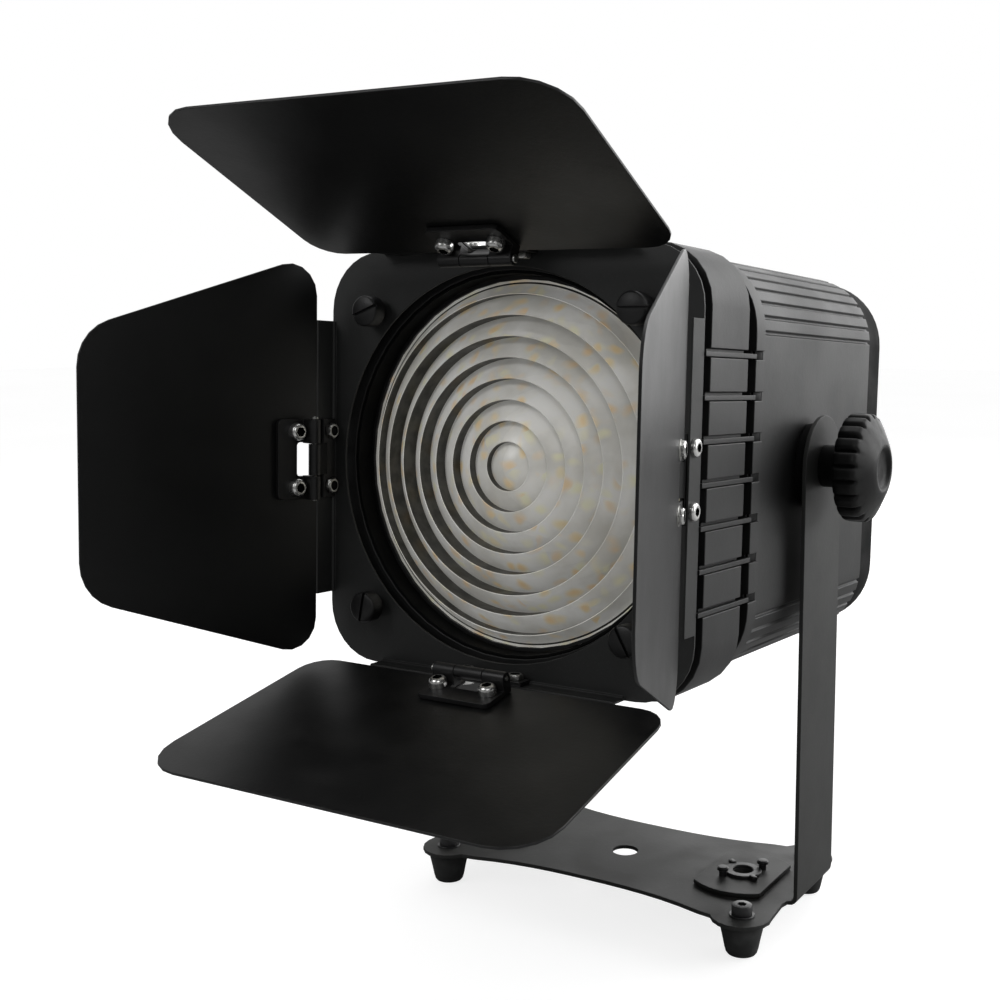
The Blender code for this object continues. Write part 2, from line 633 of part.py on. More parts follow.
def make_rear(head):
    """The recessed rear panel and what it carries."""
    front = BODY_REAR + 0.0007
    back = front + REAR_PANEL_T
    start = along_beam()
    inlet = rectangle(*INLET_AT, 0.0486, 0.0286)
    display = rectangle(*DISPLAY_AT, 0.0646, 0.0346)
    keys = [(KEY_PITCH * (k - 1.5), KEY_Y) for k in range(4)]
    holes = [inlet, display, circle(0, -SCREW_Z, 0.0045, 16)]
    holes += [circle(x, y, SOCKET_R + GAP, 20) for x, y in SOCKETS_AT]
    holes += [circle(x, y, KEY_R + GAP, 14) for x, y in keys]
    outline = square_outline(REAR_OPENING_HALF - GAP, REAR_OPENING_CORNER - GAP, corner_steps=6)
    extruded("rear_panel", [outline] + holes, front, back, head, start, black_paint())
    well = rectangle(*INLET_AT, 0.030, 0.016)
    extruded("mains_inlet", [rectangle(*INLET_AT, 0.048, 0.028), well], front - 0.012, back + 0.002,
             head, start, black_plastic())
    extruded("display_window", [rectangle(*DISPLAY_AT, 0.064, 0.034)], front, back + 0.0008, head, start,
             clear_glass())
    ring = [(SOCKET_R, front - 0.010), (SOCKET_R, back + 0.003), (SOCKET_BORE_R, back + 0.003),
            (SOCKET_BORE_R, front - 0.010)]
    for name, (x, y) in zip(("dmx_input", "dmx_output"), SOCKETS_AT):
        turned_ring(name, ring, 20, head, along_beam(x=x, z=-y), black_cast())
    key = [(KEY_R + 0.0012, front - 0.003), (KEY_R + 0.0012, front - 0.002), (KEY_R, front - 0.002),
           (KEY_R, back + 0.002), (KEY_R - 0.0008, back + 0.0028)]
    for k, (x, y) in enumerate(keys):
        turned("menu_button_%d" % (k + 1), key, 14, head, along_beam(x=x, z=-y), black_plastic())
    rings = [scalloped(0.016, 0.0012, 10, h) for h in (0.0, 0.011)] + [scalloped(0.014, 0.001, 10, 0.013)]
    knob = lofted("focus_knob", rings, head, along_beam(back + 0.0012, z=SCREW_Z), black_plastic())
    bore = turned("focus_bore", [(0.0043, -0.002), (0.0043, 0.0062)], 16, head,
                  along_beam(back + 0.0012, z=SCREW_Z), steel())
    boolean(knob, bore, "DIFFERENCE")
    tab = filleted([(back + GAP, 0.082, 0.0), (back + 0.020, 0.084, 0.007), (back + 0.020, 0.104, 0.007),
                    (back + GAP, 0.106, 0.0)], 3)
    hole = circle(back + 0.0115 - PIVOT_TO_PLATE, 0.094, 0.0060, 14)
    eye = [[(y - PIVOT_TO_PLATE, z) for y, z in tab], hole]
    extruded("safety_eye", eye, -0.002, 0.002, head, across_beam(), steel())
    block("control_board", (0.110, 0.0016, 0.060), (0.0, front - 0.0070 - PIVOT_TO_PLATE, 0.046), head,
          Matrix.Identity(4), board_green())
    block("power_supply", (0.150, 0.120, 0.028), (0.0, 0.165 - PIVOT_TO_PLATE, -0.096), head,
          Matrix.Identity(4), aluminium(), bevel=0.001)


# ---------------------------------------------------------------- yoke

def yoke_outline():
    """Flat pattern: s across the base and up the arms, y along the beam."""
    arm_top = ARM_INNER - BEND_R + BEND_R * math.pi / 2 + PIVOT_OVER_BASE - BEND_R
    edge = ARM_INNER - BEND_R - 0.0005
    half = []
    for sign in (-1, 1):
        ear_y = BASE_CENTRE_Y + sign * EAR_Y
        waist_y = BASE_CENTRE_Y + sign * WAIST_HALF
        waist = [(0.0, waist_y)]
        for k in range(1, 7):
            s = 0.080 * k / 6
            waist.append((s, waist_y + sign * 0.0095 * (k / 6) ** 2.6))
        lobe = arc(EAR_X, ear_y, EAR_R, sign * 150, 0, 8)
        arm_y = sign * ARM_HALF
        neck = [(edge - 0.0012, arm_y + sign * 0.006), (edge, arm_y)]
        half.append(waist + lobe + neck + [(arm_top, arm_y)])
    front, rear = half
    cap = arc(arm_top, 0.0, ARM_HALF, -90, 90, 14)[1:-1]
    right = front + cap + rear[::-1]
    left = [(-s, y) for s, y in right[::-1]]
    return right[:-1] + left[:-1], arm_top


def fold(point):
    """Bend the flat pattern up at both ends; z is measured from the base's top face."""
    s, y, _ = point
    flat = ARM_INNER - BEND_R
    beyond = abs(s) - flat
    sign = 1.0 if s > 0 else -1.0
    quarter = BEND_R * math.pi / 2
    if beyond <= 0.0:
        return Vector((s, y, 0.0))
    if beyond <= quarter:
        angle = beyond / BEND_R
        return Vector((sign * (flat + BEND_R * math.sin(angle)), y, BEND_R * (1 - math.cos(angle))))
    return Vector((sign * ARM_INNER, y, BEND_R + beyond - quarter))


def make_yoke(stand):
    outline, arm_top = yoke_outline()
    holes = [circle(0.0, BASE_CENTRE_Y, 0.0086, 20)]
    holes += [circle(x, BASE_CENTRE_Y, 0.0068, 16) for x in (-LOCK_X, LOCK_X)]
    holes += [circle(s, 0.0, 0.0052, 16) for s in (-arm_top, arm_top)]
    bm = filled([outline] + holes)
    flat = ARM_INNER - BEND_R
    quarter = BEND_R * math.pi / 2
    for sign in (-1, 1):
        for k in range(5):
            place = (sign * (flat + quarter * k / 4), 0.0, 0.0)
            geometry = bm.verts[:] + bm.edges[:] + bm.faces[:]
            bmesh.ops.bisect_plane(bm, geom=geometry, plane_co=place, plane_no=(1.0, 0.0, 0.0), dist=1e-7)
    bmesh.ops.triangulate(bm, faces=bm.faces[:])
    upper = {v: fold(v.co) for v in bm.verts}
    under = {}
    for v in bm.verts:
        beyond = abs(v.co.x) - flat
        angle = min(max(beyond / BEND_R, 0.0), math.pi / 2)
        sign = 1.0 if v.co.x > 0 else -1.0
        outward = Vector((sign * math.sin(angle), 0.0, -math.cos(angle)))
        under[v] = upper[v] + outward * SHEET
    solid = bmesh.new()
    top = {v: solid.verts.new(p) for v, p in upper.items()}
    low = {v: solid.verts.new(p) for v, p in under.items()}
    for face in bm.faces:
        solid.faces.new([top[v] for v in face.verts])
        solid.faces.new([low[v] for v in reversed(face.verts)])
    for edge in bm.edges:
        if edge.is_boundary:
            a, b = edge.verts
            solid.faces.new((top[a], top[b], low[b], low[a]))
    bm.free()
    finish_mesh(solid, "yoke", stand, Matrix.Translation((0, 0, BASE_TOP)), black_paint())


def make_yoke_fittings(stand):
    number = 0
    for x in (-FOOT_X, FOOT_X):
        for y in (-FOOT_Y, FOOT_Y):
            number += 1
            top = BASE_TOP - SHEET - GAP
            profile = [(FOOT_BOTTOM_R - 0.0018, 0.0), (FOOT_BOTTOM_R, 0.0016),
                       (FOOT_TOP_R - 0.0006, top - 0.0012), (FOOT_TOP_R - 0.0016, top)]
            turned("foot_%d" % number, profile, 20, stand,
                   Matrix.Translation((x, BASE_CENTRE_Y + y, 0)), rubber())
    for side, x in (("left", -LOCK_X), ("right", LOCK_X)):
        flat_half, radius = 0.022, 0.034
        reach = math.degrees(math.acos(flat_half / radius))
        outline = arc(0, 0, radius, reach, 180 - reach, 10) + arc(0, 0, radius, 180 + reach, 360 - reach, 10)
        extruded("quick_lock_plate_" + side, [outline, circle(0, 0, 0.0062, 16)], GAP, 0.0030, stand,
                 Matrix.Translation((x, BASE_CENTRE_Y, BASE_TOP)), steel())


def make_tilt_fittings(head):
    """Friction pads between the housing and the arms, and the clamping knobs outside."""
    for side in ("left", "right"):
        outwards = facing(side)
        pad = [(PAD_BORE_R, BODY_HALF + GAP), (PAD_R, BODY_HALF + GAP), (PAD_R, ARM_INNER - 0.0012),
               (PAD_R - 0.0010, ARM_INNER - GAP), (PAD_BORE_R, ARM_INNER - GAP)]
        turned_ring("friction_pad_" + side, pad, 28, head, outwards, rubber())
        outer = ARM_INNER + SHEET + GAP
        per_lobe = 2
        count = KNOB_LOBES * per_lobe
        round_rings = [(KNOB_SHANK_R, BODY_HALF - 0.008), (KNOB_SHANK_R, outer), (KNOB_NECK_R, outer),
                       (KNOB_NECK_R, 0.1428)]
        rings = [[(x, y, h) for x, y in circle(0, 0, r, count)] for r, h in round_rings]
        rings += [scalloped(r, dip, KNOB_LOBES, h, per_lobe) for r, dip, h in
                  ((0.0302, 0.0022, 0.1432), (0.0318, 0.0026, 0.1448), (0.0318, 0.0026, 0.1555),
                   (0.0302, 0.0020, 0.1572))]
        rings += [[(x, y, h) for x, y in circle(0, 0, r, count)] for r, h in
                  ((0.0150, 0.1645), (0.0125, 0.1645), (0.0110, 0.1620))]
        lofted("tilt_knob_" + side, rings, head, outwards, black_plastic(), smooth=40.0)


def lowest_and_centre():
    """The bounding box's bottom centre over every piece, as evaluated."""
    graph = bpy.context.evaluated_depsgraph_get()
    graph.update()
    low = Vector((math.inf,) * 3)
    high = Vector((-math.inf,) * 3)
    for item in bpy.context.scene.objects:
        if item.type != "MESH" or item.hide_render:
            continue
        shown = item.evaluated_get(graph)
        for vertex in shown.data.vertices:
            place = shown.matrix_world @ vertex.co
            low = Vector(map(min, low, place))
            high = Vector(map(max, high, place))
    return Vector(((low.x + high.x) / 2, (low.y + high.y) / 2, low.z))


def main():
    remove_everything()
    root = empty("spotlight", None, Matrix.Identity(4))
    stand = empty("stand", root, Matrix.Identity(4))
    pivot = Matrix.Translation((0.0, 0.0, BASE_TOP + PIVOT_OVER_BASE))
    head = empty("tilt_axis", root, pivot @ Matrix.Rotation(-TILT_UP, 4, "X"))
    make_yoke(stand)
    make_yoke_fittings(stand)
    make_housing(head)
    make_lens(head)
    make_door_frame(head)
    make_posts(head)
    make_barn_doors(head)
    make_focus_carriage(head)
    make_rear(head)
    make_tilt_fittings(head)
    bpy.context.view_layer.update()
    root.location = -lowest_and_centre()


main()
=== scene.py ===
import json
import math

import bmesh
import bpy
from mathutils import Matrix, Vector


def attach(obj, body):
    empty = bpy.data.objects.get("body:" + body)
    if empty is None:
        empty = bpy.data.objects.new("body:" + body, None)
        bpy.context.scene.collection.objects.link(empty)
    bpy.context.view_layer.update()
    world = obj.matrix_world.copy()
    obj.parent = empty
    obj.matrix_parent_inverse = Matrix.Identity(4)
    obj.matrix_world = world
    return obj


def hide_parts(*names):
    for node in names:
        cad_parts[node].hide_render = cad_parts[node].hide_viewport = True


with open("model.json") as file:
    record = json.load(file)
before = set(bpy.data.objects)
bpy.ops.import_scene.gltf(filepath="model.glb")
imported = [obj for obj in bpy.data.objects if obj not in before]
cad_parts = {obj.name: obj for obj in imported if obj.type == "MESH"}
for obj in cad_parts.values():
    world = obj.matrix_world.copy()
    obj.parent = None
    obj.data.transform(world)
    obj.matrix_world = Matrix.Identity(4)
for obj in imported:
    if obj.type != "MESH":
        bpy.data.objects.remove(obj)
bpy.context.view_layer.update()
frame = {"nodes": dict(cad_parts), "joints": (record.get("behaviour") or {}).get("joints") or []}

NODES = frame["nodes"]
JOINTS = {joint["name"]: joint for joint in frame["joints"]}

# Layout shared with the CAD, in metres. Depth is measured behind the door frame's plate.
PIVOT_TO_PLATE = 0.157
BASE_TOP = 0.0236
BASE_CENTRE_Y = -0.0095
ARM_INNER, SHEET = 0.1255, 0.0025
HEAD_HALF = 0.120
BEZEL_FRONT = 0.0075
MID_FRONT, MID_REAR = 0.0662, 0.0786
REAR_RING_REAR = 0.290
PANEL_BACK = 0.2657
NOTCH_PITCH, NOTCH_SHIFT, NOTCH_COUNT, NOTCH_DEPTH = 0.0221, 0.0030, 7, 0.0028
LENS_R, LENS_CREST, LENS_VALLEY, LENS_RIM, LENS_BACK = 0.1050, 0.0068, 0.0200, 0.0220, 0.0272
OUTER_CRESTS = (0.0085, 0.0135)
RING_COUNT, FIRST_RING_R, RING_PITCH = 8, 0.0134, 0.0116
FACET_FALL, FACET_FALL_GROWTH, RISER_DRAFT = 0.0044, 0.00145, 0.0003
POST_OFFSET, POST_FACE, POST_HEAD_R = 0.085, 0.0144, 0.0087
PLATE_HALF, FLANGE_INNER = 0.119, 0.1150
HINGE_RADIUS, HINGE_FORWARD = 0.110, 0.0265
LEAF_INNER, DOOR_OUTER = 0.0061, 0.0107
SCREW_U, DOOR_SCREW_V, FRAME_SCREW_FORWARD = 0.016, 0.0088, 0.0067
DOORS = {"top": (0.0, 22.9), "right": (90.0, 18.6), "bottom": (180.0, 13.6), "left": (-90.0, 15.0)}
FOOT_X, FOOT_Y, LOCK_X = 0.106, 0.053, 0.084
CARRIAGE_DEPTH, ARRAY_FORWARD = 0.122, 0.0057
PANEL_SCREW_OFFSET, RING_SCREW_OFFSET = 0.0985, 0.1005
LOUVRE_X, LOUVRE_Z, LOUVRE_PITCH, LOUVRE_COUNT = 0.070, -0.008, 0.0085, 6
INLET_X, INLET_Z = -0.062, -0.060
SOCKET_X, SOCKET_ZS = 0.064, (-0.028, -0.066)
FOCUS_KNOB_Z = -0.064

PIVOT = Vector(JOINTS["head_tilt"]["pos_m"])
BEAM = Vector(JOINTS["carriage_slide"]["axis"]).normalized()
ACROSS = Vector((1.0, 0.0, 0.0))
HEAD = Matrix((ACROSS, BEAM, ACROSS.cross(BEAM))).transposed().to_4x4()
HEAD.translation = PIVOT
STAND = Matrix.Translation((0.0, PIVOT.y, 0.0))


def turn(degrees, axis):
    """A rotation about one axis."""
    return Matrix.Rotation(math.radians(degrees), 4, axis)


def rearward(depth=0.0, x=0.0, z=0.0):
    """Local Z runs to the rear of the head and local Y down, from a point at a depth."""
    return HEAD @ Matrix.Translation((x, depth - PIVOT_TO_PLATE, z)) @ turn(-90, "X")


def forward(depth):
    """Local Z runs to the front of the head and local Y up, from a point at a depth."""
    return HEAD @ Matrix.Translation((0.0, depth - PIVOT_TO_PLATE, 0.0)) @ turn(90, "X")


def side_frame(side):
    """x along the hinge, y forwards, z away from the beam."""
    return HEAD @ turn(DOORS[side][0], "Y") @ Matrix.Translation((0, -PIVOT_TO_PLATE, 0)) @ turn(180, "Z")


def door_frame(side):
    """The frame of a side, moved to its hinge and turned with its door."""
    hinge = Matrix.Translation((0.0, HINGE_FORWARD, HINGE_RADIUS))
    return side_frame(side) @ hinge @ turn(DOORS[side][1], "X")


# ---------------------------------------------------------------- materials

class Look:
    """A small helper that adds and joins the nodes of one material."""

    def __init__(self, name):
        self.material = bpy.data.materials.new(name)
        self.material.use_nodes = True
        self.tree = self.material.node_tree
        self.shader = self.tree.nodes["Principled BSDF"]
        self.place = self.add("ShaderNodeTexCoord").outputs["Object"]

    def add(self, kind, **settings):
        node = self.tree.nodes.new(kind)
        for key, value in settings.items():
            setattr(node, key, value)
        return node

    def join(self, source, target):
        self.tree.links.new(source, target)

    def stretched(self, scale):
        node = self.add("ShaderNodeMapping")
        self.join(self.place, node.inputs["Vector"])
        node.inputs["Scale"].default_value = scale
        return node.outputs["Vector"]

    def noise(self, scale, detail=3.0, vector=None, roughness=0.5):
        node = self.add("ShaderNodeTexNoise")
        self.join(vector or self.place, node.inputs["Vector"])
        node.inputs["Scale"].default_value = scale
        node.inputs["Detail"].default_value = detail
        node.inputs["Roughness"].default_value = roughness
        return node.outputs["Fac"]

    def spread(self, source, low, high, to_low=0.0, to_high=1.0):
        node = self.add("ShaderNodeMapRange", interpolation_type="SMOOTHSTEP")
        self.join(source, node.inputs["Value"])
        for key, value in (("From Min", low), ("From Max", high), ("To Min", to_low), ("To Max", to_high)):
            node.inputs[key].default_value = value
        return node.outputs["Result"]

    def clouds(self, scale, detail, low, high, to_low=0.0, to_high=1.0):
        """Soft patches that run between two values."""
        return self.spread(self.noise(scale, detail), low, high, to_low, to_high)

    def math(self, operation, a, b):
        node = self.add("ShaderNodeMath", operation=operation)
        for socket, value in zip(node.inputs, (a, b)):
            if isinstance(value, (int, float)):
                socket.default_value = value
            else:
                self.join(value, socket)
        return node.outputs["Value"]

    def mix(self, factor, a, b):
        node = self.add("ShaderNodeMix", data_type="RGBA")
        self.join(factor, node.inputs["Factor"])
        for key, value in (("A", a), ("B", b)):
            socket = [s for s in node.inputs if s.name == key and s.type == "RGBA"][0]
            if isinstance(value, tuple):
                socket.default_value = (*value, 1.0)
            else:
                self.join(value, socket)
        return [s for s in node.outputs if s.type == "RGBA"][0]

    def bump(self, height, distance, strength=1.0, below=None):
        node = self.add("ShaderNodeBump")
        node.inputs["Strength"].default_value = strength
        node.inputs["Distance"].default_value = distance
        self.join(height, node.inputs["Height"])
        if below is not None:
            self.join(below, node.inputs["Normal"])
        return node.outputs["Normal"]

    def facing_up(self):
        """1 on upward faces, where dust settles."""
        parts = self.add("ShaderNodeSeparateXYZ")
        self.join(self.add("ShaderNodeNewGeometry").outputs["Normal"], parts.inputs["Vector"])
        return self.spread(parts.outputs["Z"], 0.55, 0.95)

    def edges(self, radius):
        """1 on convex and concave edges, found by comparing rounded normals with the true ones."""
        rounded = self.add("ShaderNodeBevel", samples=4)
        rounded.inputs["Radius"].default_value = radius
        dot = self.add("ShaderNodeVectorMath", operation="DOT_PRODUCT")
        self.join(rounded.outputs["Normal"], dot.inputs[0])
        self.join(self.add("ShaderNodeNewGeometry").outputs["Normal"], dot.inputs[1])
        return self.spread(dot.outputs["Value"], 0.99, 0.86)

    def set(self, **values):
        for key, value in values.items():
            self.shader.inputs[key.replace("_", " ")].default_value = value
        return self

    def colour(self, source):
        self.join(source, self.shader.inputs["Base Color"])

    def finish(self, roughness, normal):
        self.join(roughness, self.shader.inputs["Roughness"])
        self.join(normal, self.shader.inputs["Normal"])
        return self.material


def tint(base, factor):
    """A colour made darker or lighter by a factor."""
    return tuple(channel * factor for channel in base)


def powder_coat(name, base, rough, grain=1500.0, wear=0.5, dust=0.5):
    """Textured black powder coat: fine pimples, faint clouds, rubbed edges and a little dust."""
    worn_colour, dust_colour = (0.105, 0.104, 0.10), (0.20, 0.195, 0.185)
    look = Look(name)
    paint = look.mix(look.clouds(7.0, 4.0, 0.35, 0.68), tint(base, 0.75), tint(base, 1.3))
    specks = look.math("MULTIPLY", look.clouds(grain * 0.6, 1.0, 0.60, 0.78), 0.35)
    paint = look.mix(specks, paint, tint(base, 2.6))
    rubbed = look.math("MULTIPLY", look.edges(0.0007), look.clouds(60.0, 4.0, 0.50, 0.66, 0.0, wear))
    paint = look.mix(rubbed, paint, worn_colour)
    settled = look.math("MULTIPLY", look.facing_up(), look.clouds(38.0, 6.0, 0.42, 0.8, 0.0, dust))
    paint = look.mix(look.math("MULTIPLY", settled, 0.12), paint, dust_colour)
    look.colour(paint)
    sheen = look.clouds(16.0, 5.0, 0.3, 0.7, rough - 0.045, rough + 0.05)
    sheen = look.math("ADD", sheen, look.math("MULTIPLY", settled, 0.12))
    pimples = look.bump(look.noise(grain, 2.0), 0.00006, 0.55)
    orange_peel = look.bump(look.noise(grain * 0.22, 1.0), 0.00018, 0.22, pimples)
    return look.finish(sheen, orange_peel)


def cast_metal(name, base, rough):
    """Dark cast metal with fine pits."""
    look = Look(name)
    look.colour(look.mix(look.clouds(22.0, 5.0, 0.35, 0.7), tint(base, 0.7), tint(base, 1.5)))
    pits = look.bump(look.noise(900.0, 3.0), 0.00012, 0.5)
    return look.finish(look.clouds(45.0, 4.0, 0.3, 0.7, rough - 0.08, rough + 0.08), pits)


def moulded(name, base, rough, grain=1800.0, specular=0.5):
    """Satin moulded plastic with a spark-eroded grain and handling marks."""
    look = Look(name)
    look.colour(look.mix(look.clouds(12.0, 3.0, 0.3, 0.7), tint(base, 0.8), tint(base, 1.25)))
    look.set(Specular_IOR_Level=specular)
    handled = look.spread(look.noise(70.0, 6.0, roughness=0.65), 0.35, 0.72, rough - 0.09, rough + 0.07)
    return look.finish(handled, look.bump(look.noise(grain, 2.0), 0.00004, 0.5))


def rubber(name, base):
    """Rough rubber with a pale bloom in patches."""
    look = Look(name)
    bloom = look.clouds(55.0, 6.0, 0.42, 0.75)
    look.colour(look.mix(bloom, base, tint(base, 1.9)))
    look.set(Specular_IOR_Level=0.35)
    skin = look.bump(look.noise(420.0, 4.0), 0.00018, 0.6)
    return look.finish(look.clouds(30.0, 4.0, 0.3, 0.7, 0.62, 0.86), skin)


def plated(name, base, rough):
    """Bright plated steel with fine turning marks and small cloudy patches."""
    look = Look(name)
    marks = look.noise(1.0, 2.0, look.stretched((260.0, 260.0, 1500.0)))
    patch = look.clouds(140.0, 4.0, 0.35, 0.75)
    look.colour(look.mix(patch, base, tint(base, 0.80)))
    look.set(Metallic=1.0)
    blur = look.spread(patch, 0.0, 1.0, rough, rough + 0.10)
    blur = look.math("ADD", blur, look.math("MULTIPLY", marks, 0.05))
    return look.finish(blur, look.bump(marks, 0.00002, 0.35))


def matt_black_and_painted_shade(name, base):
    """Matt black that stays dark in soft light; used both for real matt black parts and as painted shade in
    slots, sockets and gaps.
    """
    look = Look(name)
    look.colour(look.mix(look.clouds(30.0, 4.0, 0.35, 0.7), base, tint(base, 1.8)))
    look.set(Specular_IOR_Level=0.12)
    return look.finish(look.clouds(40.0, 4.0, 0.3, 0.7, 0.55, 0.75),
                       look.bump(look.noise(800.0, 3.0), 0.00008, 0.5))


def brushed(name, base, rough):
    """Bare metal brushed along local X."""
    look = Look(name)
    lines = look.noise(1.0, 3.0, look.stretched((18.0, 1600.0, 1600.0)))
    look.colour(look.mix(look.spread(lines, 0.35, 0.7), tint(base, 0.82), base))
    look.set(Metallic=1.0)
    blur = look.spread(lines, 0.3, 0.7, rough - 0.05, rough + 0.12)
    return look.finish(blur, look.bump(lines, 0.00003, 0.5))


def lens_face():
    """Pressed glass in front of the light chamber, with smeared images of the emitters painted on, and a
    painted glow: its colour is also emitted, standing in for light from the chamber.
    """
    smoked, clear = (0.70, 0.685, 0.63), (0.94, 0.935, 0.90)
    yellow, orange = (0.96, 0.92, 0.62), (0.95, 0.68, 0.36)
    look = Look("fresnel_glass_painted_glow")
    drift = look.add("ShaderNodeTexNoise")
    look.join(look.place, drift.inputs["Vector"])
    drift.inputs["Scale"].default_value = 42.0
    shift = look.add("ShaderNodeVectorMath", operation="SCALE")
    look.join(drift.outputs["Color"], shift.inputs[0])
    shift.inputs["Scale"].default_value = 0.016
    wobble = look.add("ShaderNodeVectorMath", operation="ADD")
    look.join(look.place, wobble.inputs[0])
    look.join(shift.outputs["Vector"], wobble.inputs[1])
    # painted images of the emitters seen through the glass, as amber and pale yellow spots
    cells = look.add("ShaderNodeTexVoronoi", feature="SMOOTH_F1")
    look.join(wobble.outputs["Vector"], cells.inputs["Vector"])
    cells.inputs["Scale"].default_value = 108.0
    cells.inputs["Smoothness"].default_value = 0.6
    spot = look.spread(cells.outputs["Distance"], 0.58, 0.06)
    pick = look.add("ShaderNodeSeparateColor")
    look.join(cells.outputs["Color"], pick.inputs["Color"])
    amber = look.math("MULTIPLY", spot, look.spread(pick.outputs["Red"], 0.42, 0.70, 0.0, 0.80))
    pale = look.math("MULTIPLY", spot, look.spread(pick.outputs["Green"], 0.45, 0.68, 0.0, 0.75))
    smoke = look.clouds(30.0, 4.0, 0.32, 0.70)
    glass = look.mix(smoke, smoked, clear)
    glass = look.mix(pale, glass, yellow)
    glass = look.mix(amber, glass, orange)
    look.colour(glass)
    look.set(IOR=1.5, Transmission_Weight=0.10, Coat_Weight=0.35, Coat_Roughness=0.22)
    # painted glow: the glass colour, spots included, is also emitted, though the lens is no lamp
    look.join(glass, look.shader.inputs["Emission Color"])
    look.set(Emission_Strength=0.15)
    ripple = look.bump(look.noise(150.0, 3.0), 0.00016, 0.4)
    return look.finish(look.clouds(80.0, 4.0, 0.3, 0.7, 0.30, 0.44), ripple)


def ground_glass(name, low, high):
    """Matt glass on the steep sides of the lens rings, painted dark as shade."""
    look = Look(name)
    look.colour(look.mix(look.clouds(120.0, 4.0, 0.3, 0.7), low, high))
    look.set(IOR=1.5)
    return look.finish(look.clouds(90.0, 3.0, 0.3, 0.7, 0.32, 0.5),
                       look.bump(look.noise(900.0, 2.0), 0.00006, 0.5))


def dark_glass():
    """A switched-off display behind smeared glass."""
    look = Look("display_glass")
    look.colour(look.mix(look.clouds(30.0, 3.0, 0.3, 0.7), (0.008, 0.010, 0.012), (0.014, 0.017, 0.020)))
    look.set(IOR=1.5, Coat_Weight=0.6, Coat_Roughness=0.04)
    smears = look.clouds(55.0, 6.0, 0.4, 0.8, 0.07, 0.24)
    return look.finish(smears, look.bump(look.noise(25.0, 1.0), 0.00005, 0.2))


def circuit_board():
    """Green board with a mesh of tracks."""
    look = Look("circuit_board")
    tracks = look.add("ShaderNodeTexBrick", offset=0.35)
    look.join(look.place, tracks.inputs["Vector"])
    tracks.inputs["Scale"].default_value = 160.0
    tracks.inputs["Mortar Size"].default_value = 0.06
    look.colour(look.mix(tracks.outputs["Fac"], (0.012, 0.060, 0.030), (0.050, 0.150, 0.075)))
    return look.finish(look.clouds(60.0, 3.0, 0.3, 0.7, 0.32, 0.48),
                       look.bump(tracks.outputs["Fac"], 0.00004, 0.5))


def phosphor(name, low, high):
    """The soft yellow resin over an emitter."""
    look = Look(name)
    look.colour(look.mix(look.clouds(500.0, 2.0, 0.35, 0.7), low, high))
    look.set(Subsurface_Weight=0.2, Subsurface_Scale=0.0008)
    return look.finish(look.clouds(300.0, 2.0, 0.3, 0.7, 0.28, 0.45),
                       look.bump(look.noise(1500.0, 2.0), 0.00005, 0.4))


# One black powder coat in four tones. The sheet coat on the doors is made darker than the others as painted
# shade, standing in for the shade inside the doors.
PAINT = powder_coat("housing_powder_coat", (0.0042, 0.0044, 0.0045), 0.46)
SHADED_SHEET_PAINT = powder_coat("sheet_powder_coat_painted_shade", (0.0011, 0.0013, 0.0015), 0.40, 1700.0, 0.6, 0.3)
PLATE_PAINT = powder_coat("plate_powder_coat", (0.0150, 0.0157, 0.0154), 0.50, 1700.0, 0.6, 0.3)
YOKE_PAINT = powder_coat("yoke_powder_coat", (0.0165, 0.0170, 0.0160), 0.50, 1300.0, 0.75, 0.8)
CAST = cast_metal("black_cast_metal", (0.0045, 0.0045, 0.0048), 0.42)
PLASTIC = moulded("black_plastic", (0.006, 0.006, 0.0064), 0.36)
KNOB = moulded("knob_plastic", (0.0028, 0.0030, 0.0030), 0.47, grain=1500.0, specular=0.30)
RUBBER = rubber("black_rubber", (0.032, 0.0325, 0.0322))
CHROME = plated("bright_plating", (0.86, 0.86, 0.84), 0.22)
STEEL = plated("zinc_plating", (0.52, 0.52, 0.50), 0.26)
DARK_STEEL = cast_metal("blackened_steel", (0.018, 0.018, 0.019), 0.36)
MATT_BLACK_AND_SHADE = matt_black_and_painted_shade("matt_black_and_painted_shade", (0.0014, 0.0015, 0.0016))
ALUMINIUM = brushed("brushed_aluminium", (0.56, 0.565, 0.57), 0.34)
PAINTED_GLOW_GLASS = lens_face()
RISER_PAINTED_SHADE = ground_glass("riser_glass_painted_shade", (0.030, 0.029, 0.025), (0.085, 0.082, 0.071))
DISPLAY = dark_glass()
BOARD = circuit_board()
WARM = phosphor("warm_phosphor", (0.78, 0.42, 0.10), (0.86, 0.58, 0.20))
COOL = phosphor("cool_phosphor", (0.80, 0.74, 0.42), (0.88, 0.84, 0.60))


# ---------------------------------------------------------------- carried-over parts

def even_shading(item):
    """Keep broad faces flat-looking between their rounded edges."""
    shade = item.modifiers.new("shade", "WEIGHTED_NORMAL")
    shade.keep_sharp = False
    shade.weight = 60


def dress(look, *names, bevel=0.0):
    """Give CAD nodes a finish and soften their edges."""
    for name in names:
        node = NODES[name]
        for slot in node.material_slots:
            slot.link = "OBJECT"
            slot.material = look
        if bevel:
            weld = node.modifiers.new("weld", "WELD")
            weld.merge_threshold = 0.00001
            flat = node.modifiers.new("flat", "DECIMATE")
            flat.decimate_type = "DISSOLVE"
            flat.angle_limit = math.radians(0.4)
            edge = node.modifiers.new("edge", "BEVEL")
            edge.width = bevel
            edge.segments = 2
            edge.limit_method = "ANGLE"
            edge.angle_limit = math.radians(38)
            edge.use_clamp_overlap = False
            edge.miter_outer = "MITER_ARC"
            even_shading(node)


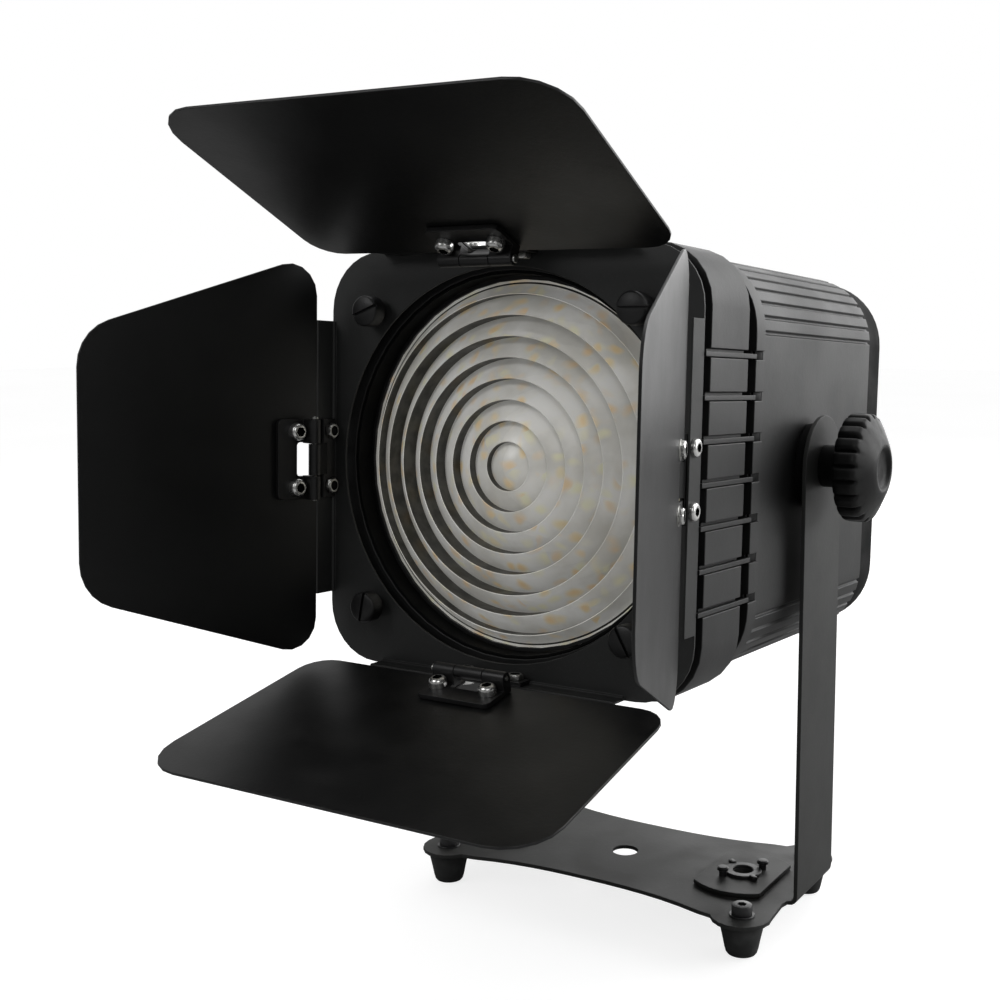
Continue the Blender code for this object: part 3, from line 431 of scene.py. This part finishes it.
SIDES = list(DOORS)
dress(PAINT, "front_bezel", "mid_ring", "housing_shell", bevel=0.0005)
dress(PAINT, "rear_panel", bevel=0.0002)
dress(MATT_BLACK_AND_SHADE, "lens_tube", bevel=0.0002)
dress(MATT_BLACK_AND_SHADE, "rear_ring", bevel=0.0008)
dress(CAST, "lens_retainer", bevel=0.0002)
dress(SHADED_SHEET_PAINT, *["barn_door_" + s for s in SIDES], bevel=0.0003)
dress(PLATE_PAINT, "door_frame", bevel=0.0003)
dress(CAST, *[kind + s for s in SIDES for kind in ("door_leaf_", "frame_leaf_")], bevel=0.0003)
dress(STEEL, *["hinge_pin_" + s for s in SIDES], bevel=0.0002)
dress(YOKE_PAINT, "yoke", bevel=0.0003)
# the friction pads take the matt black as painted shade, for the shade between the arms and the housing
dress(MATT_BLACK_AND_SHADE, "friction_pad_left", "friction_pad_right", bevel=0.0004)
dress(YOKE_PAINT, "quick_lock_plate_left", "quick_lock_plate_right", bevel=0.0004)
dress(ALUMINIUM, "heat_sink", "power_supply", bevel=0.0002)
dress(BOARD, "led_board", "control_board")
dress(COOL, "led_array")
dress(PLASTIC, "fan_frame", "fan_rotor", "mains_inlet", bevel=0.0003)
dress(PLASTIC, *["menu_button_%d" % k for k in range(1, 5)], bevel=0.0003)
dress(STEEL, "guide_rod_left", "guide_rod_right", "focus_screw", "safety_eye", bevel=0.0003)
dress(CAST, "dmx_input", "dmx_output", bevel=0.0003)
dress(DISPLAY, "display_window", bevel=0.0003)


# ---------------------------------------------------------------- mesh helpers

def piece(bm, name, body, look, matrix=None, smooth=35.0, replaces=()):
    """Turn a bmesh into a piece that rides on a body; look is one material or a list."""
    if matrix is not None:
        bm.transform(matrix)
    bmesh.ops.recalc_face_normals(bm, faces=bm.faces)
    mesh = bpy.data.meshes.new(name)
    bm.to_mesh(mesh)
    bm.free()
    mesh.shade_smooth()
    mesh.set_sharp_from_angle(angle=math.radians(smooth))
    for entry in look if isinstance(look, list) else [look]:
        mesh.materials.append(entry)
    item = bpy.data.objects.new(name, mesh)
    bpy.context.scene.collection.objects.link(item)
    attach(item, body)
    if replaces:
        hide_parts(*replaces)
    return item


def ring_points(radius, height, count, wave=None):
    """Points round local Z; wave gives how far each one is drawn in, from its angle."""
    points = []
    for k in range(count):
        angle = 2 * math.pi * k / count
        r = radius - (wave(angle) if wave else 0.0)
        points.append(Vector((r * math.cos(angle), r * math.sin(angle), height)))
    return points


def skin(bm, rings, closed=False, kinds=None):
    """Join rings of points into a skin; kinds gives each band's material index."""
    rows = [[bm.verts.new(p) for p in ring] for ring in rings]
    pairs = list(zip(rows, rows[1:]))
    if closed:
        pairs.append((rows[-1], rows[0]))
    for band, (low, high) in enumerate(pairs):
        count = max(len(low), len(high))
        for k in range(count):
            m = (k + 1) % count
            if len(low) == 1:
                face = bm.faces.new((low[0], high[k], high[m]))
            elif len(high) == 1:
                face = bm.faces.new((low[k], low[m], high[0]))
            else:
                face = bm.faces.new((low[k], low[m], high[m], high[k]))
            if kinds:
                face.material_index = kinds[band]
    if not closed:
        for row in (rows[0], rows[-1]):
            if len(row) > 2:
                bm.faces.new(row)
    return bm


def revolve(bm, profile, count, closed=False, matrix=None, kinds=None):
    """Turn (radius, height) points about local Z; a zero radius closes to a tip."""
    part = bmesh.new()
    rings = [[Vector((0.0, 0.0, h))] if r == 0.0 else ring_points(r, h, count) for r, h in profile]
    skin(part, rings, closed, kinds)
    return merge(bm, part, matrix)


def merge(bm, part, matrix=None):
    """Add a part, moved by the matrix, to a bmesh."""
    if matrix is not None:
        part.transform(matrix)
    bmesh.ops.recalc_face_normals(part, faces=part.faces)
    mesh = bpy.data.meshes.new("part")
    part.to_mesh(mesh)
    part.free()
    bm.from_mesh(mesh)
    bpy.data.meshes.remove(mesh)
    return bm


def prism(bm, outline, low, high, matrix=None, bevel=0.0):
    """An outline in local XY raised from low to high, with rounded edges."""
    part = bmesh.new()
    bottom = [part.verts.new((x, y, low)) for x, y in outline]
    top = [part.verts.new((x, y, high)) for x, y in outline]
    part.faces.new(bottom)
    part.faces.new(top)
    for k in range(len(outline)):
        m = (k + 1) % len(outline)
        part.faces.new((bottom[k], bottom[m], top[m], top[k]))
    if bevel:
        bmesh.ops.recalc_face_normals(part, faces=part.faces)
        sharp = [e for e in part.edges if e.calc_face_angle(0.0) > math.radians(40)]
        bmesh.ops.bevel(part, geom=sharp, offset=bevel, segments=2, affect="EDGES", profile=0.5)
    return merge(bm, part, matrix)


def hexagon(across):
    """Outline of a hexagon, from its size across the flats."""
    corner = across / math.sqrt(3)
    angles = [math.pi * k / 3 for k in range(6)]
    return [(corner * math.cos(a), corner * math.sin(a)) for a in angles]


def rectangle(width, height, x=0.0, y=0.0):
    """Outline of a rectangle round a middle point."""
    return [(x - width / 2, y - height / 2), (x + width / 2, y - height / 2),
            (x + width / 2, y + height / 2), (x - width / 2, y + height / 2)]


def carved(item, *tools):
    """Cut tool meshes out of a piece and keep the result as its mesh."""
    made = []
    for bm in tools:
        mesh = bpy.data.meshes.new("tool")
        bm.to_mesh(mesh)
        bm.free()
        tool = bpy.data.objects.new("tool", mesh)
        bpy.context.scene.collection.objects.link(tool)
        cut = item.modifiers.new("cut", "BOOLEAN")
        cut.operation = "DIFFERENCE"
        cut.solver = "EXACT"
        cut.object = tool
        made.append(tool)
    graph = bpy.context.evaluated_depsgraph_get()
    graph.update()
    result = bpy.data.meshes.new_from_object(item.evaluated_get(graph), depsgraph=graph)
    item.modifiers.clear()
    old = item.data
    item.data = result
    bpy.data.meshes.remove(old)
    for tool in made:
        bpy.data.objects.remove(tool, do_unlink=True)
    return item


def hexagon_socket(across, depth, top):
    """A hexagon block that cuts a socket down from a screw's top."""
    return prism(bmesh.new(), hexagon(across), top - depth, top + 0.002)


# ---------------------------------------------------------------- lens

def make_lens():
    """Rings of sloping facets with steep risers between them."""
    facet_steps, lip = 6, 0.0003
    crests = [LENS_CREST] * (RING_COUNT - len(OUTER_CRESTS)) + list(OUTER_CRESTS)
    profile, kinds = [(0.0, LENS_CREST)], []
    for ring, crest in enumerate(crests):
        inner, high = profile[-1]
        outer = FIRST_RING_R + RING_PITCH * ring
        valley = min(high + FACET_FALL + FACET_FALL_GROWTH * ring, LENS_VALLEY)
        for step in range(1, facet_steps + 1):
            share = step / facet_steps
            bow = share ** 2 if ring == 0 else 0.70 * share + 0.30 * share ** 2
            profile.append((inner + (outer - inner) * share, high + (valley - high) * bow))
            kinds.append(0)
        # the risers take the second material, dark glass as painted shade
        profile += [(outer + RISER_DRAFT * 0.7, crest + lip), (outer + RISER_DRAFT + lip, crest)]
        kinds += [1, 0]
    # a slope down to the flat rim, the rounded edge and the flat back
    profile += [(0.0985, LENS_RIM - 0.0030), (0.1008, LENS_RIM - 0.0006), (0.1018, LENS_RIM),
                (LENS_R - 0.0004, LENS_RIM), (LENS_R, LENS_RIM + 0.0004), (LENS_R, LENS_BACK),
                (0.0, LENS_BACK)]
    # the rounded edge of the rim also takes the dark riser glass, as painted shade
    kinds += [0, 0, 1, 0, 0, 0, 0]
    bm = revolve(bmesh.new(), profile, 192, kinds=kinds)
    piece(bm, "fresnel_lens_glass", "head", [PAINTED_GLOW_GLASS, RISER_PAINTED_SHADE], rearward(), smooth=28.0,
          replaces=["fresnel_lens"])


def make_emitters():
    """Rows of small emitters on the array, warm and cool in turn."""
    pitch, size, field_radius = 0.0062, 0.0034, 0.0345
    for name, look, parity in (("warm_emitters", WARM, 0), ("cool_emitters", COOL, 1)):
        bm = bmesh.new()
        for i in range(-5, 6):
            for j in range(-5, 6):
                if math.hypot(i, j) * pitch > field_radius or (i + j) % 2 != parity:
                    continue
                place = Matrix.Translation((i * pitch, j * pitch, 0.0))
                prism(bm, rectangle(size, size), 0.0, 0.0009, place, bevel=0.0004)
        piece(bm, name, "carriage", look, forward(CARRIAGE_DEPTH - ARRAY_FORWARD))


# ---------------------------------------------------------------- screws and nuts

def button_head(radius, height, socket):
    """A domed socket screw head standing on local z 0."""
    wall, dome_share = height * 0.48, 0.38
    profile = [(0.0, 0.0), (radius * 0.97, 0.0), (radius, radius * 0.04), (radius, wall)]
    for k in range(1, 9):
        angle = math.radians(10 * k)
        r = radius * (1.0 - dome_share + dome_share * math.cos(angle))
        profile.append((r, wall + (height - wall) * math.sin(angle)))
    profile += [(socket * 0.60, height), (0.0, height)]
    return revolve(bmesh.new(), profile, 40)


def socket_head(name, body, radius, height, across, depth, place):
    """A domed screw whose hexagon socket is painted black as shade."""
    item = piece(button_head(radius, height, across), name, body, [CHROME, MATT_BLACK_AND_SHADE])
    carved(item, hexagon_socket(across, depth, height))
    # faces inside the socket take the second material, black as painted shade
    for face in item.data.polygons:
        middle = face.center
        inside = math.hypot(middle.x, middle.y) < across / math.sqrt(3)
        face.material_index = 1 if inside and middle.z < height - 0.0002 else 0
    item.data.transform(place)
    return item


def hexagon_nut(across, height):
    """A nut with chamfered corners round the end of its screw; the bore and screw end take the second
    material, black as painted shade.
    """
    count, chamfer = 48, 0.0005
    corner, bore = across / math.sqrt(3), across * 0.36
    screw_end, thread_floor = height - 0.0006, height - 0.0009
    rings = [[Vector((0, 0, 0))]]
    for limit, z in ((across * 0.48, 0.0), (corner, chamfer), (corner, height - chamfer),
                     (across * 0.47, height)):
        ring = []
        for k in range(count):
            angle = 2 * math.pi * k / count
            wedge = (angle + math.pi / 6) % (math.pi / 3) - math.pi / 6
            r = min(across / 2 / math.cos(wedge), limit)
            ring.append(Vector((r * math.cos(angle), r * math.sin(angle), z)))
        rings.append(ring)
    for share, z in ((1.0, height), (0.94, thread_floor), (0.70, thread_floor), (0.62, screw_end)):
        rings.append(ring_points(bore * share, z, count))
    rings.append([Vector((0, 0, screw_end))])
    # the last four bands, bore and screw end, are painted black as shade
    return skin(bmesh.new(), rings, kinds=[0] * 5 + [1] * 4)


def washer(inner, outer, thick):
    """A flat ring with a rounded upper edge."""
    edge = thick * 0.3
    profile = [(inner, 0.0), (outer, 0.0), (outer, thick - edge), (outer - edge, thick), (inner, thick)]
    return revolve(bmesh.new(), profile, 40, closed=True)


def make_hinge_screws():
    """Two screws through each door and its leaf, and two through the frame's flange below."""
    nut_size, washer_thick = 0.0080, 0.0005
    inwards = turn(180, "X")
    for side in SIDES:
        door = "door_" + side
        for index, u in enumerate((-SCREW_U, SCREW_U), start=1):
            tag = "%s_%d" % (side, index)
            spin = turn(17 + 41 * index + 23 * len(side), "Z")
            seat = door_frame(side) @ Matrix.Translation((u, DOOR_SCREW_V, LEAF_INNER)) @ inwards
            socket_head("door_screw_" + tag, door, 0.0050, 0.0054, 0.0050, 0.0034, seat @ spin)
            outer_seat = door_frame(side) @ Matrix.Translation((u, DOOR_SCREW_V, DOOR_OUTER))
            if side == "left":
                # the deeper flange on this side leaves room for a flat rivet only
                rivet = revolve(bmesh.new(), [(0.0, 0.0), (0.0049, 0.0), (0.0046, 0.0005), (0.0, 0.0007)], 40)
                piece(rivet, "door_rivet_" + tag, door, CHROME, outer_seat)
            else:
                piece(washer(0.0027, 0.0052, washer_thick), "door_washer_" + tag, door, STEEL, outer_seat)
                raised = outer_seat @ Matrix.Translation((0, 0, washer_thick)) @ spin
                piece(hexagon_nut(nut_size, 0.0025), "door_nut_" + tag, door, [CHROME, MATT_BLACK_AND_SHADE], raised)
            outside = side_frame(side) @ Matrix.Translation((u, FRAME_SCREW_FORWARD, PLATE_HALF))
            socket_head("frame_screw_" + tag, "head", 0.0047, 0.0027, 0.0042, 0.0018, outside @ spin)
            inside = side_frame(side) @ Matrix.Translation((u, FRAME_SCREW_FORWARD, FLANGE_INNER)) @ inwards
            piece(hexagon_nut(nut_size, 0.0032), "frame_nut_" + tag, "head", [STEEL, MATT_BLACK_AND_SHADE], inside @ spin)


def make_posts():
    """Slotted screws whose heads hold the door frame off the bezel."""
    r, neck, back, foot = POST_HEAD_R, 0.0042, 0.0092 - POST_FACE, BEZEL_FRONT - 0.0003
    slot_width, slot_floor = 0.0017, 0.0019 - POST_FACE
    places = [(x, z) for x in (-POST_OFFSET, POST_OFFSET) for z in (POST_OFFSET, -POST_OFFSET)]
    slot_turns = (-20.0, 100.0, 0.0, 60.0)
    for index, ((x, z), slot_turn) in enumerate(zip(places, slot_turns), start=1):
        profile = [(0.0, foot), (neck, foot), (neck, back), (r - 0.0004, back), (r, back - 0.0004),
                   (r, 0.0012 - POST_FACE), (r - 0.0004, 0.0005 - POST_FACE), (r - 0.0012, -POST_FACE),
                   (0.0, -POST_FACE)]
        item = piece(revolve(bmesh.new(), profile, 64), "slotted_post_%d" % index, "head", CAST,
                     replaces=["post_screw_%d" % index])
        slot = prism(bmesh.new(), rectangle(0.03, slot_width), -POST_FACE - 0.002, slot_floor)
        slot.transform(turn(slot_turn, "Z"))
        carved(item, slot)
        item.data.transform(rearward(x=x, z=z))


# ---------------------------------------------------------------- strips along the bezel

def make_strips():
    """Flush strips in the notches of the bezel, and black pieces in the middle ring's slots as painted shade.
    """
    width, thick, inset, gap = 0.0026, 0.0021, 0.0001, 0.0006
    front, back = 0.0019, MID_FRONT + 0.0012
    slot_shade_width, slot_shade_thick = 0.0045, 0.0012
    slot_shade_middle = HEAD_HALF - NOTCH_DEPTH + inset + slot_shade_thick / 2
    for index, side in enumerate(("right", "top", "left", "bottom")):
        place = rearward() @ turn(90 * index, "Z")
        strips = bmesh.new()
        slot_shade_pieces = bmesh.new()
        for k in range(NOTCH_COUNT):
            slot = (k - (NOTCH_COUNT - 1) / 2) * NOTCH_PITCH + NOTCH_SHIFT
            # black pieces at the bottom of the middle ring's slots, standing in for the shade inside them
            prism(slot_shade_pieces, rectangle(slot_shade_thick, slot_shade_width, slot_shade_middle, slot), MID_FRONT + 0.0014,
                  MID_REAR - 0.0002, bevel=0.0002)
            prism(strips, rectangle(thick, width, HEAD_HALF - inset - thick / 2, slot + gap), front, back,
                  bevel=0.0003)
        even_shading(piece(strips, "edge_strips_" + side, "head", PAINT, place))
        piece(slot_shade_pieces, "slot_painted_shade_" + side, "head", MATT_BLACK_AND_SHADE, place)


# ---------------------------------------------------------------- tilt knobs

def fluted_rings(rings, lobes, sharpness, count):
    """Rings of points from (radius, height, depth) rows, drawn in between their lobes."""
    made = []
    for radius, height, depth in rings:
        def wave(angle, deepest=depth):
            return deepest * (0.5 - 0.5 * math.cos(lobes * angle)) ** sharpness
        made.append(ring_points(radius, height, count, wave))
    return made


def make_knobs():
    """Lobed clamp knobs with a dished face, outside the yoke's arms."""
    lobes, sharpness = 21, 5
    count = 12 * lobes
    start = ARM_INNER + SHEET + 0.0003
    # radius, distance from the middle of the head, depth of the flutes
    rows = [(0.0121, start, 0.0), (0.0125, start + 0.0004, 0.0), (0.0125, 0.1414, 0.0),
            (0.0129, 0.1424, 0.0), (0.0142, 0.1429, 0.0), (0.0282, 0.1429, 0.0006),
            (0.0300, 0.1432, 0.0014), (0.0311, 0.1439, 0.0022), (0.0317, 0.1450, 0.0026),
            (0.0318, 0.1475, 0.0027), (0.0318, 0.1530, 0.0027), (0.0316, 0.1552, 0.0026),
            (0.0309, 0.1563, 0.0022), (0.0300, 0.1570, 0.0013), (0.0289, 0.1576, 0.0003),
            (0.0280, 0.1581, 0.0), (0.0230, 0.1607, 0.0), (0.0180, 0.1632, 0.0), (0.0152, 0.1643, 0.0),
            (0.0140, 0.1645, 0.0), (0.0130, 0.1644, 0.0), (0.0124, 0.1640, 0.0), (0.0116, 0.1626, 0.0),
            (0.0104, 0.1619, 0.0), (0.0060, 0.1617, 0.0)]
    rings = [[Vector((0, 0, start))]] + fluted_rings(rows, lobes, sharpness, count)
    rings.append([Vector((0, 0, 0.1617))])
    for side, angle in (("left", -90), ("right", 90)):
        place = HEAD @ turn(angle, "Y")
        piece(skin(bmesh.new(), rings), "clamp_knob_" + side, "knob_" + side, KNOB, place, smooth=50.0,
              replaces=["tilt_knob_" + side])


# ---------------------------------------------------------------- yoke details

def make_feet():
    """Tapered rubber feet, each held by a socket screw on a washer."""
    top, bolt_top = BASE_TOP - SHEET - 0.0003, 0.0068
    foot = [(0.0, 0.0007), (0.0058, 0.0007), (0.0062, 0.0), (0.0074, 0.0), (0.0086, 0.0005),
            (0.0094, 0.0016), (0.0101, 0.0040), (0.0113, 0.0100), (0.0124, 0.0150), (0.0130, 0.0178),
            (0.0130, 0.0184), (0.0134, 0.0188), (0.0134, top - 0.0008), (0.0128, top), (0.0, top)]
    head = [(0.0, 0.0009), (0.0058, 0.0009), (0.0062, 0.0013), (0.0062, 0.0060), (0.0058, 0.0066),
            (0.0052, bolt_top), (0.0, bolt_top)]
    places = [(x, y) for x in (-FOOT_X, FOOT_X) for y in (-FOOT_Y, FOOT_Y)]
    for number, (x, y) in enumerate(places, start=1):
        place = STAND @ Matrix.Translation((x, BASE_CENTRE_Y + y, 0.0))
        seat = place @ Matrix.Translation((0.0, 0.0, BASE_TOP))
        piece(revolve(bmesh.new(), foot, 64), "rubber_foot_%d" % number, "yoke", RUBBER, place,
              replaces=["foot_%d" % number])
        piece(washer(0.0035, 0.0076, 0.0009), "foot_washer_%d" % number, "yoke", DARK_STEEL, seat)
        bolt = piece(revolve(bmesh.new(), head, 48), "foot_bolt_%d" % number, "yoke", DARK_STEEL)
        carved(bolt, hexagon_socket(0.0050, 0.0036, bolt_top))
        bolt.data.transform(seat @ turn(11.0 * number, "Z"))


def make_quick_locks():
    """The catch on each plate: a collar between two studs and two stops."""
    collar = [(0.0064, 0.0), (0.0118, 0.0), (0.0118, 0.0012), (0.0112, 0.0018), (0.0070, 0.0018),
              (0.0064, 0.0012)]
    stud = [(0.0, 0.0), (0.0024, 0.0), (0.0024, 0.0030), (0.0036, 0.0036), (0.0036, 0.0050),
            (0.0028, 0.0058), (0.0, 0.0060)]
    for side, x in (("left", -LOCK_X), ("right", LOCK_X)):
        catch = revolve(bmesh.new(), collar, 56, closed=True)
        for angle in (52.0, 232.0):
            revolve(catch, stud, 28, matrix=turn(angle, "Z") @ Matrix.Translation((0.0142, 0.0, 0.0)))
        for angle in (142.0, 322.0):
            at = turn(angle, "Z") @ Matrix.Translation((0.0135, 0.0, 0.0))
            prism(catch, rectangle(0.0052, 0.0034), 0.0, 0.0026, at, bevel=0.0005)
        place = STAND @ Matrix.Translation((x, BASE_CENTRE_Y, BASE_TOP + 0.0030))
        piece(catch, "quick_lock_catch_" + side, "yoke", DARK_STEEL, place)


# ---------------------------------------------------------------- rear details

def corner_screws(name, depth, offset, radius, height, socket):
    """Four small screws at the corners of a square round the beam."""
    screws = bmesh.new()
    for x in (-offset, offset):
        for z in (-offset, offset):
            merge(screws, button_head(radius, height, socket), rearward(depth, x, z))
    piece(screws, name, "head", DARK_STEEL)


def make_louvres():
    """Pressed vents in two columns, each a hood that rises and falls along its length."""
    half, rise, run, skirt, stations = 0.019, 0.0026, 0.0048, 0.00005, 12
    rings = []
    for k in range(stations + 1):
        share = k / stations
        bulge = math.sin(math.pi * share) ** 0.35
        x = -half + 2 * half * share
        y = -run / 2 + run * 0.35 * (1 - bulge)
        rings.append([Vector((x, run / 2, 0.0)), Vector((x, run * 0.15, rise * 0.72 * bulge + skirt)),
                      Vector((x, y, rise * bulge + skirt)), Vector((x, y, 0.0))])
    louvres = bmesh.new()
    for row in range(LOUVRE_COUNT):
        for x in (-LOUVRE_X, LOUVRE_X):
            merge(louvres, skin(bmesh.new(), rings), rearward(PANEL_BACK, x, LOUVRE_Z + LOUVRE_PITCH * row))
    piece(louvres, "vent_louvres", "head", PAINT)


def make_sockets():
    """Pins of the mains inlet, and the flanges and contacts of the two data sockets."""
    pins = bmesh.new()
    for dx, dz in ((-0.007, 0.0022), (0.007, 0.0022), (0.0, -0.0022)):
        place = rearward(PANEL_BACK, INLET_X + dx, INLET_Z + dz)
        prism(pins, rectangle(0.0018, 0.0042), -0.013, -0.0015, place, bevel=0.0003)
    piece(pins, "mains_pins", "head", STEEL)

    flange = [(0.0122, 0.0001), (0.0146, 0.0001), (0.0146, 0.0012), (0.0140, 0.0018), (0.0122, 0.0018)]
    insert = [(0.0, -0.0090), (0.0083, -0.0090), (0.0083, -0.0062), (0.0, -0.0062)]
    pin = [(0.0, -0.0064), (0.0009, -0.0064), (0.0009, 0.0), (0.0006, 0.0006), (0.0, 0.0007)]
    flanges = bmesh.new()
    contacts = bmesh.new()
    for z in SOCKET_ZS:
        place = rearward(PANEL_BACK, SOCKET_X, z)
        revolve(flanges, flange, 48, closed=True, matrix=place)
        for angle in (45.0, 225.0):
            merge(flanges, button_head(0.0020, 0.0011, 0.0011),
                  place @ turn(angle, "Z") @ Matrix.Translation((0.0165, 0.0, 0.0001)))
        revolve(contacts, insert, 32, matrix=place)
        for angle in (30.0, 150.0, 270.0):
            at = place @ turn(angle, "Z") @ Matrix.Translation((0.0046, 0.0, 0.0))
            revolve(contacts, pin, 14, matrix=at)
    piece(flanges, "socket_flanges", "head", CAST)
    piece(contacts, "socket_contacts", "head", STEEL)


def make_focus_knob():
    """A fluted knob with a pointer, inside a scale of plain marks."""
    ticks = bmesh.new()
    for k in range(21):
        length = 0.0034 if k % 5 == 0 else 0.0020
        place = rearward(PANEL_BACK, 0.0, FOCUS_KNOB_Z) @ turn(15 * k - 240, "Z")
        prism(ticks, rectangle(length, 0.0006, 0.0195 + length / 2), 0.00002, 0.00012, place)
    print_look = moulded("scale_print", (0.55, 0.55, 0.53), 0.5)
    piece(ticks, "focus_scale", "head", print_look)

    rows = [(0.0150, 0.0, 0.0), (0.0158, 0.0006, 0.0004), (0.0160, 0.0014, 0.0010), (0.0160, 0.0100, 0.0010),
            (0.0157, 0.0116, 0.0006), (0.0150, 0.0124, 0.0001), (0.0138, 0.0128, 0.0), (0.0110, 0.0126, 0.0),
            (0.0060, 0.0122, 0.0)]
    rings = [[Vector((0, 0, 0))]] + fluted_rings(rows, 24, 2, 96) + [[Vector((0, 0, 0.0121))]]
    knob = skin(bmesh.new(), rings)
    prism(knob, rectangle(0.0070, 0.0012, 0.0108), 0.0122, 0.0131, bevel=0.0003)
    piece(knob, "focus_handle", "focus", KNOB, rearward(PANEL_BACK + 0.0012, 0.0, FOCUS_KNOB_Z), smooth=45.0,
          replaces=["focus_knob"])


make_lens()
make_emitters()
make_hinge_screws()
make_posts()
make_strips()
make_knobs()
make_feet()
make_quick_locks()
corner_screws("panel_screws", PANEL_BACK, PANEL_SCREW_OFFSET, 0.0032, 0.0016, 0.0018)
make_louvres()
make_sockets()
make_focus_knob()
corner_screws("rear_ring_screws", REAR_RING_REAR - 0.0010, RING_SCREW_OFFSET, 0.0026, 0.0014, 0.0016)


# ---------------------------------------------------------------- floor, light and camera

def make_floor():
    """A pale floor just under the feet, brightened where the camera sees it directly."""
    bm = bmesh.new()
    bm.faces.new([bm.verts.new((x, y, -0.0002)) for x, y in rectangle(18, 18)])
    mesh = bpy.data.meshes.new("studio_floor")
    bm.to_mesh(mesh)
    bm.free()
    floor = bpy.data.objects.new("studio_floor", mesh)
    bpy.context.scene.collection.objects.link(floor)
    look = Look("studio_floor")
    look.colour(look.mix(look.clouds(1.2, 2.0, 0.3, 0.7), (0.39, 0.39, 0.39), (0.42, 0.42, 0.42)))
    seen = look.add("ShaderNodeLightPath").outputs["Is Camera Ray"]
    look.join(look.math("MULTIPLY", seen, 0.80), look.shader.inputs["Emission Strength"])
    look.set(Emission_Color=(1.0, 1.0, 1.0, 1.0))
    mesh.materials.append(look.finish(look.clouds(3.0, 2.0, 0.3, 0.7, 0.85, 0.95),
                                      look.bump(look.noise(300.0, 2.0), 0.00005, 0.2)))


def make_world():
    """Pale surroundings, brighter behind the lamp than in front of it."""
    world = bpy.data.worlds.new("studio")
    world.use_nodes = True
    bpy.context.scene.world = world
    tree = world.node_tree
    background = tree.nodes["Background"]
    place = tree.nodes.new("ShaderNodeTexCoord")
    parts = tree.nodes.new("ShaderNodeSeparateXYZ")
    tree.links.new(place.outputs["Generated"], parts.inputs["Vector"])
    fade = tree.nodes.new("ShaderNodeMapRange")
    fade.interpolation_type = "SMOOTHSTEP"
    for key, value in (("From Min", -0.55), ("From Max", 0.45), ("To Min", 0.13), ("To Max", 0.62)):
        fade.inputs[key].default_value = value
    tree.links.new(parts.outputs["Y"], fade.inputs["Value"])
    path = tree.nodes.new("ShaderNodeLightPath")
    pick = tree.nodes.new("ShaderNodeMath")
    pick.operation = "MAXIMUM"
    tree.links.new(path.outputs["Is Camera Ray"], pick.inputs[0])
    tree.links.new(fade.outputs["Result"], pick.inputs[1])
    tree.links.new(pick.outputs["Value"], background.inputs["Strength"])
    background.inputs["Color"].default_value = (1.0, 1.0, 1.0, 1.0)


def softbox(name, offset, width, height, radiance):
    """A rectangular light, hidden from the camera, that faces the head from an offset."""
    data = bpy.data.lights.new(name, "AREA")
    data.shape = "RECTANGLE"
    data.size, data.size_y = width, height
    data.energy = radiance * math.pi * width * height
    item = bpy.data.objects.new(name, data)
    bpy.context.scene.collection.objects.link(item)
    item.location = PIVOT + Vector(offset)
    item.rotation_euler = Vector(offset).to_track_quat("Z", "Y").to_euler()
    item.visible_camera = False


def make_camera():
    """A long lens from the front right, a little above the head and looking slightly down."""
    yaw, pitch, roll = math.radians(32.11), math.radians(8.016), math.radians(-0.4437)
    ahead = Vector((-math.sin(yaw), math.cos(yaw), 0.0))
    right = Vector((math.cos(yaw), math.sin(yaw), 0.0))
    up = Vector((0.0, 0.0, 1.0))
    view = ahead * math.cos(pitch) - up * math.sin(pitch)
    raised = up * math.cos(pitch) + ahead * math.sin(pitch)
    side = right * math.cos(roll) + raised * math.sin(roll)
    top = raised * math.cos(roll) - right * math.sin(roll)
    data = bpy.data.cameras.new("camera")
    data.sensor_width = 36.0
    data.lens = 49.31
    data.shift_x, data.shift_y = -0.0234, 0.0119
    camera = bpy.data.objects.new("camera", data)
    bpy.context.scene.collection.objects.link(camera)
    matrix = Matrix((side, top, -view)).transposed().to_4x4()
    matrix.translation = PIVOT + Vector((0.4074, -0.7828, 0.0880))
    camera.matrix_world = matrix
    bpy.context.scene.camera = camera


make_floor()
make_world()
softbox("key_right_rear", (1.55, 1.35, 0.75), 1.5, 1.5, 3.5)
softbox("rear", (-0.1, 2.2, 0.5), 1.8, 1.4, 1.9)
softbox("top", (0.1, 0.3, 1.7), 1.6, 1.6, 1.0)
softbox("front_left", (-0.75, -1.6, 1.15), 0.9, 0.9, 3.4)
softbox("front_right", (1.05, -1.5, 1.0), 0.8, 0.8, 2.0)
make_camera()
bpy.context.scene.view_settings.view_transform = "Standard"
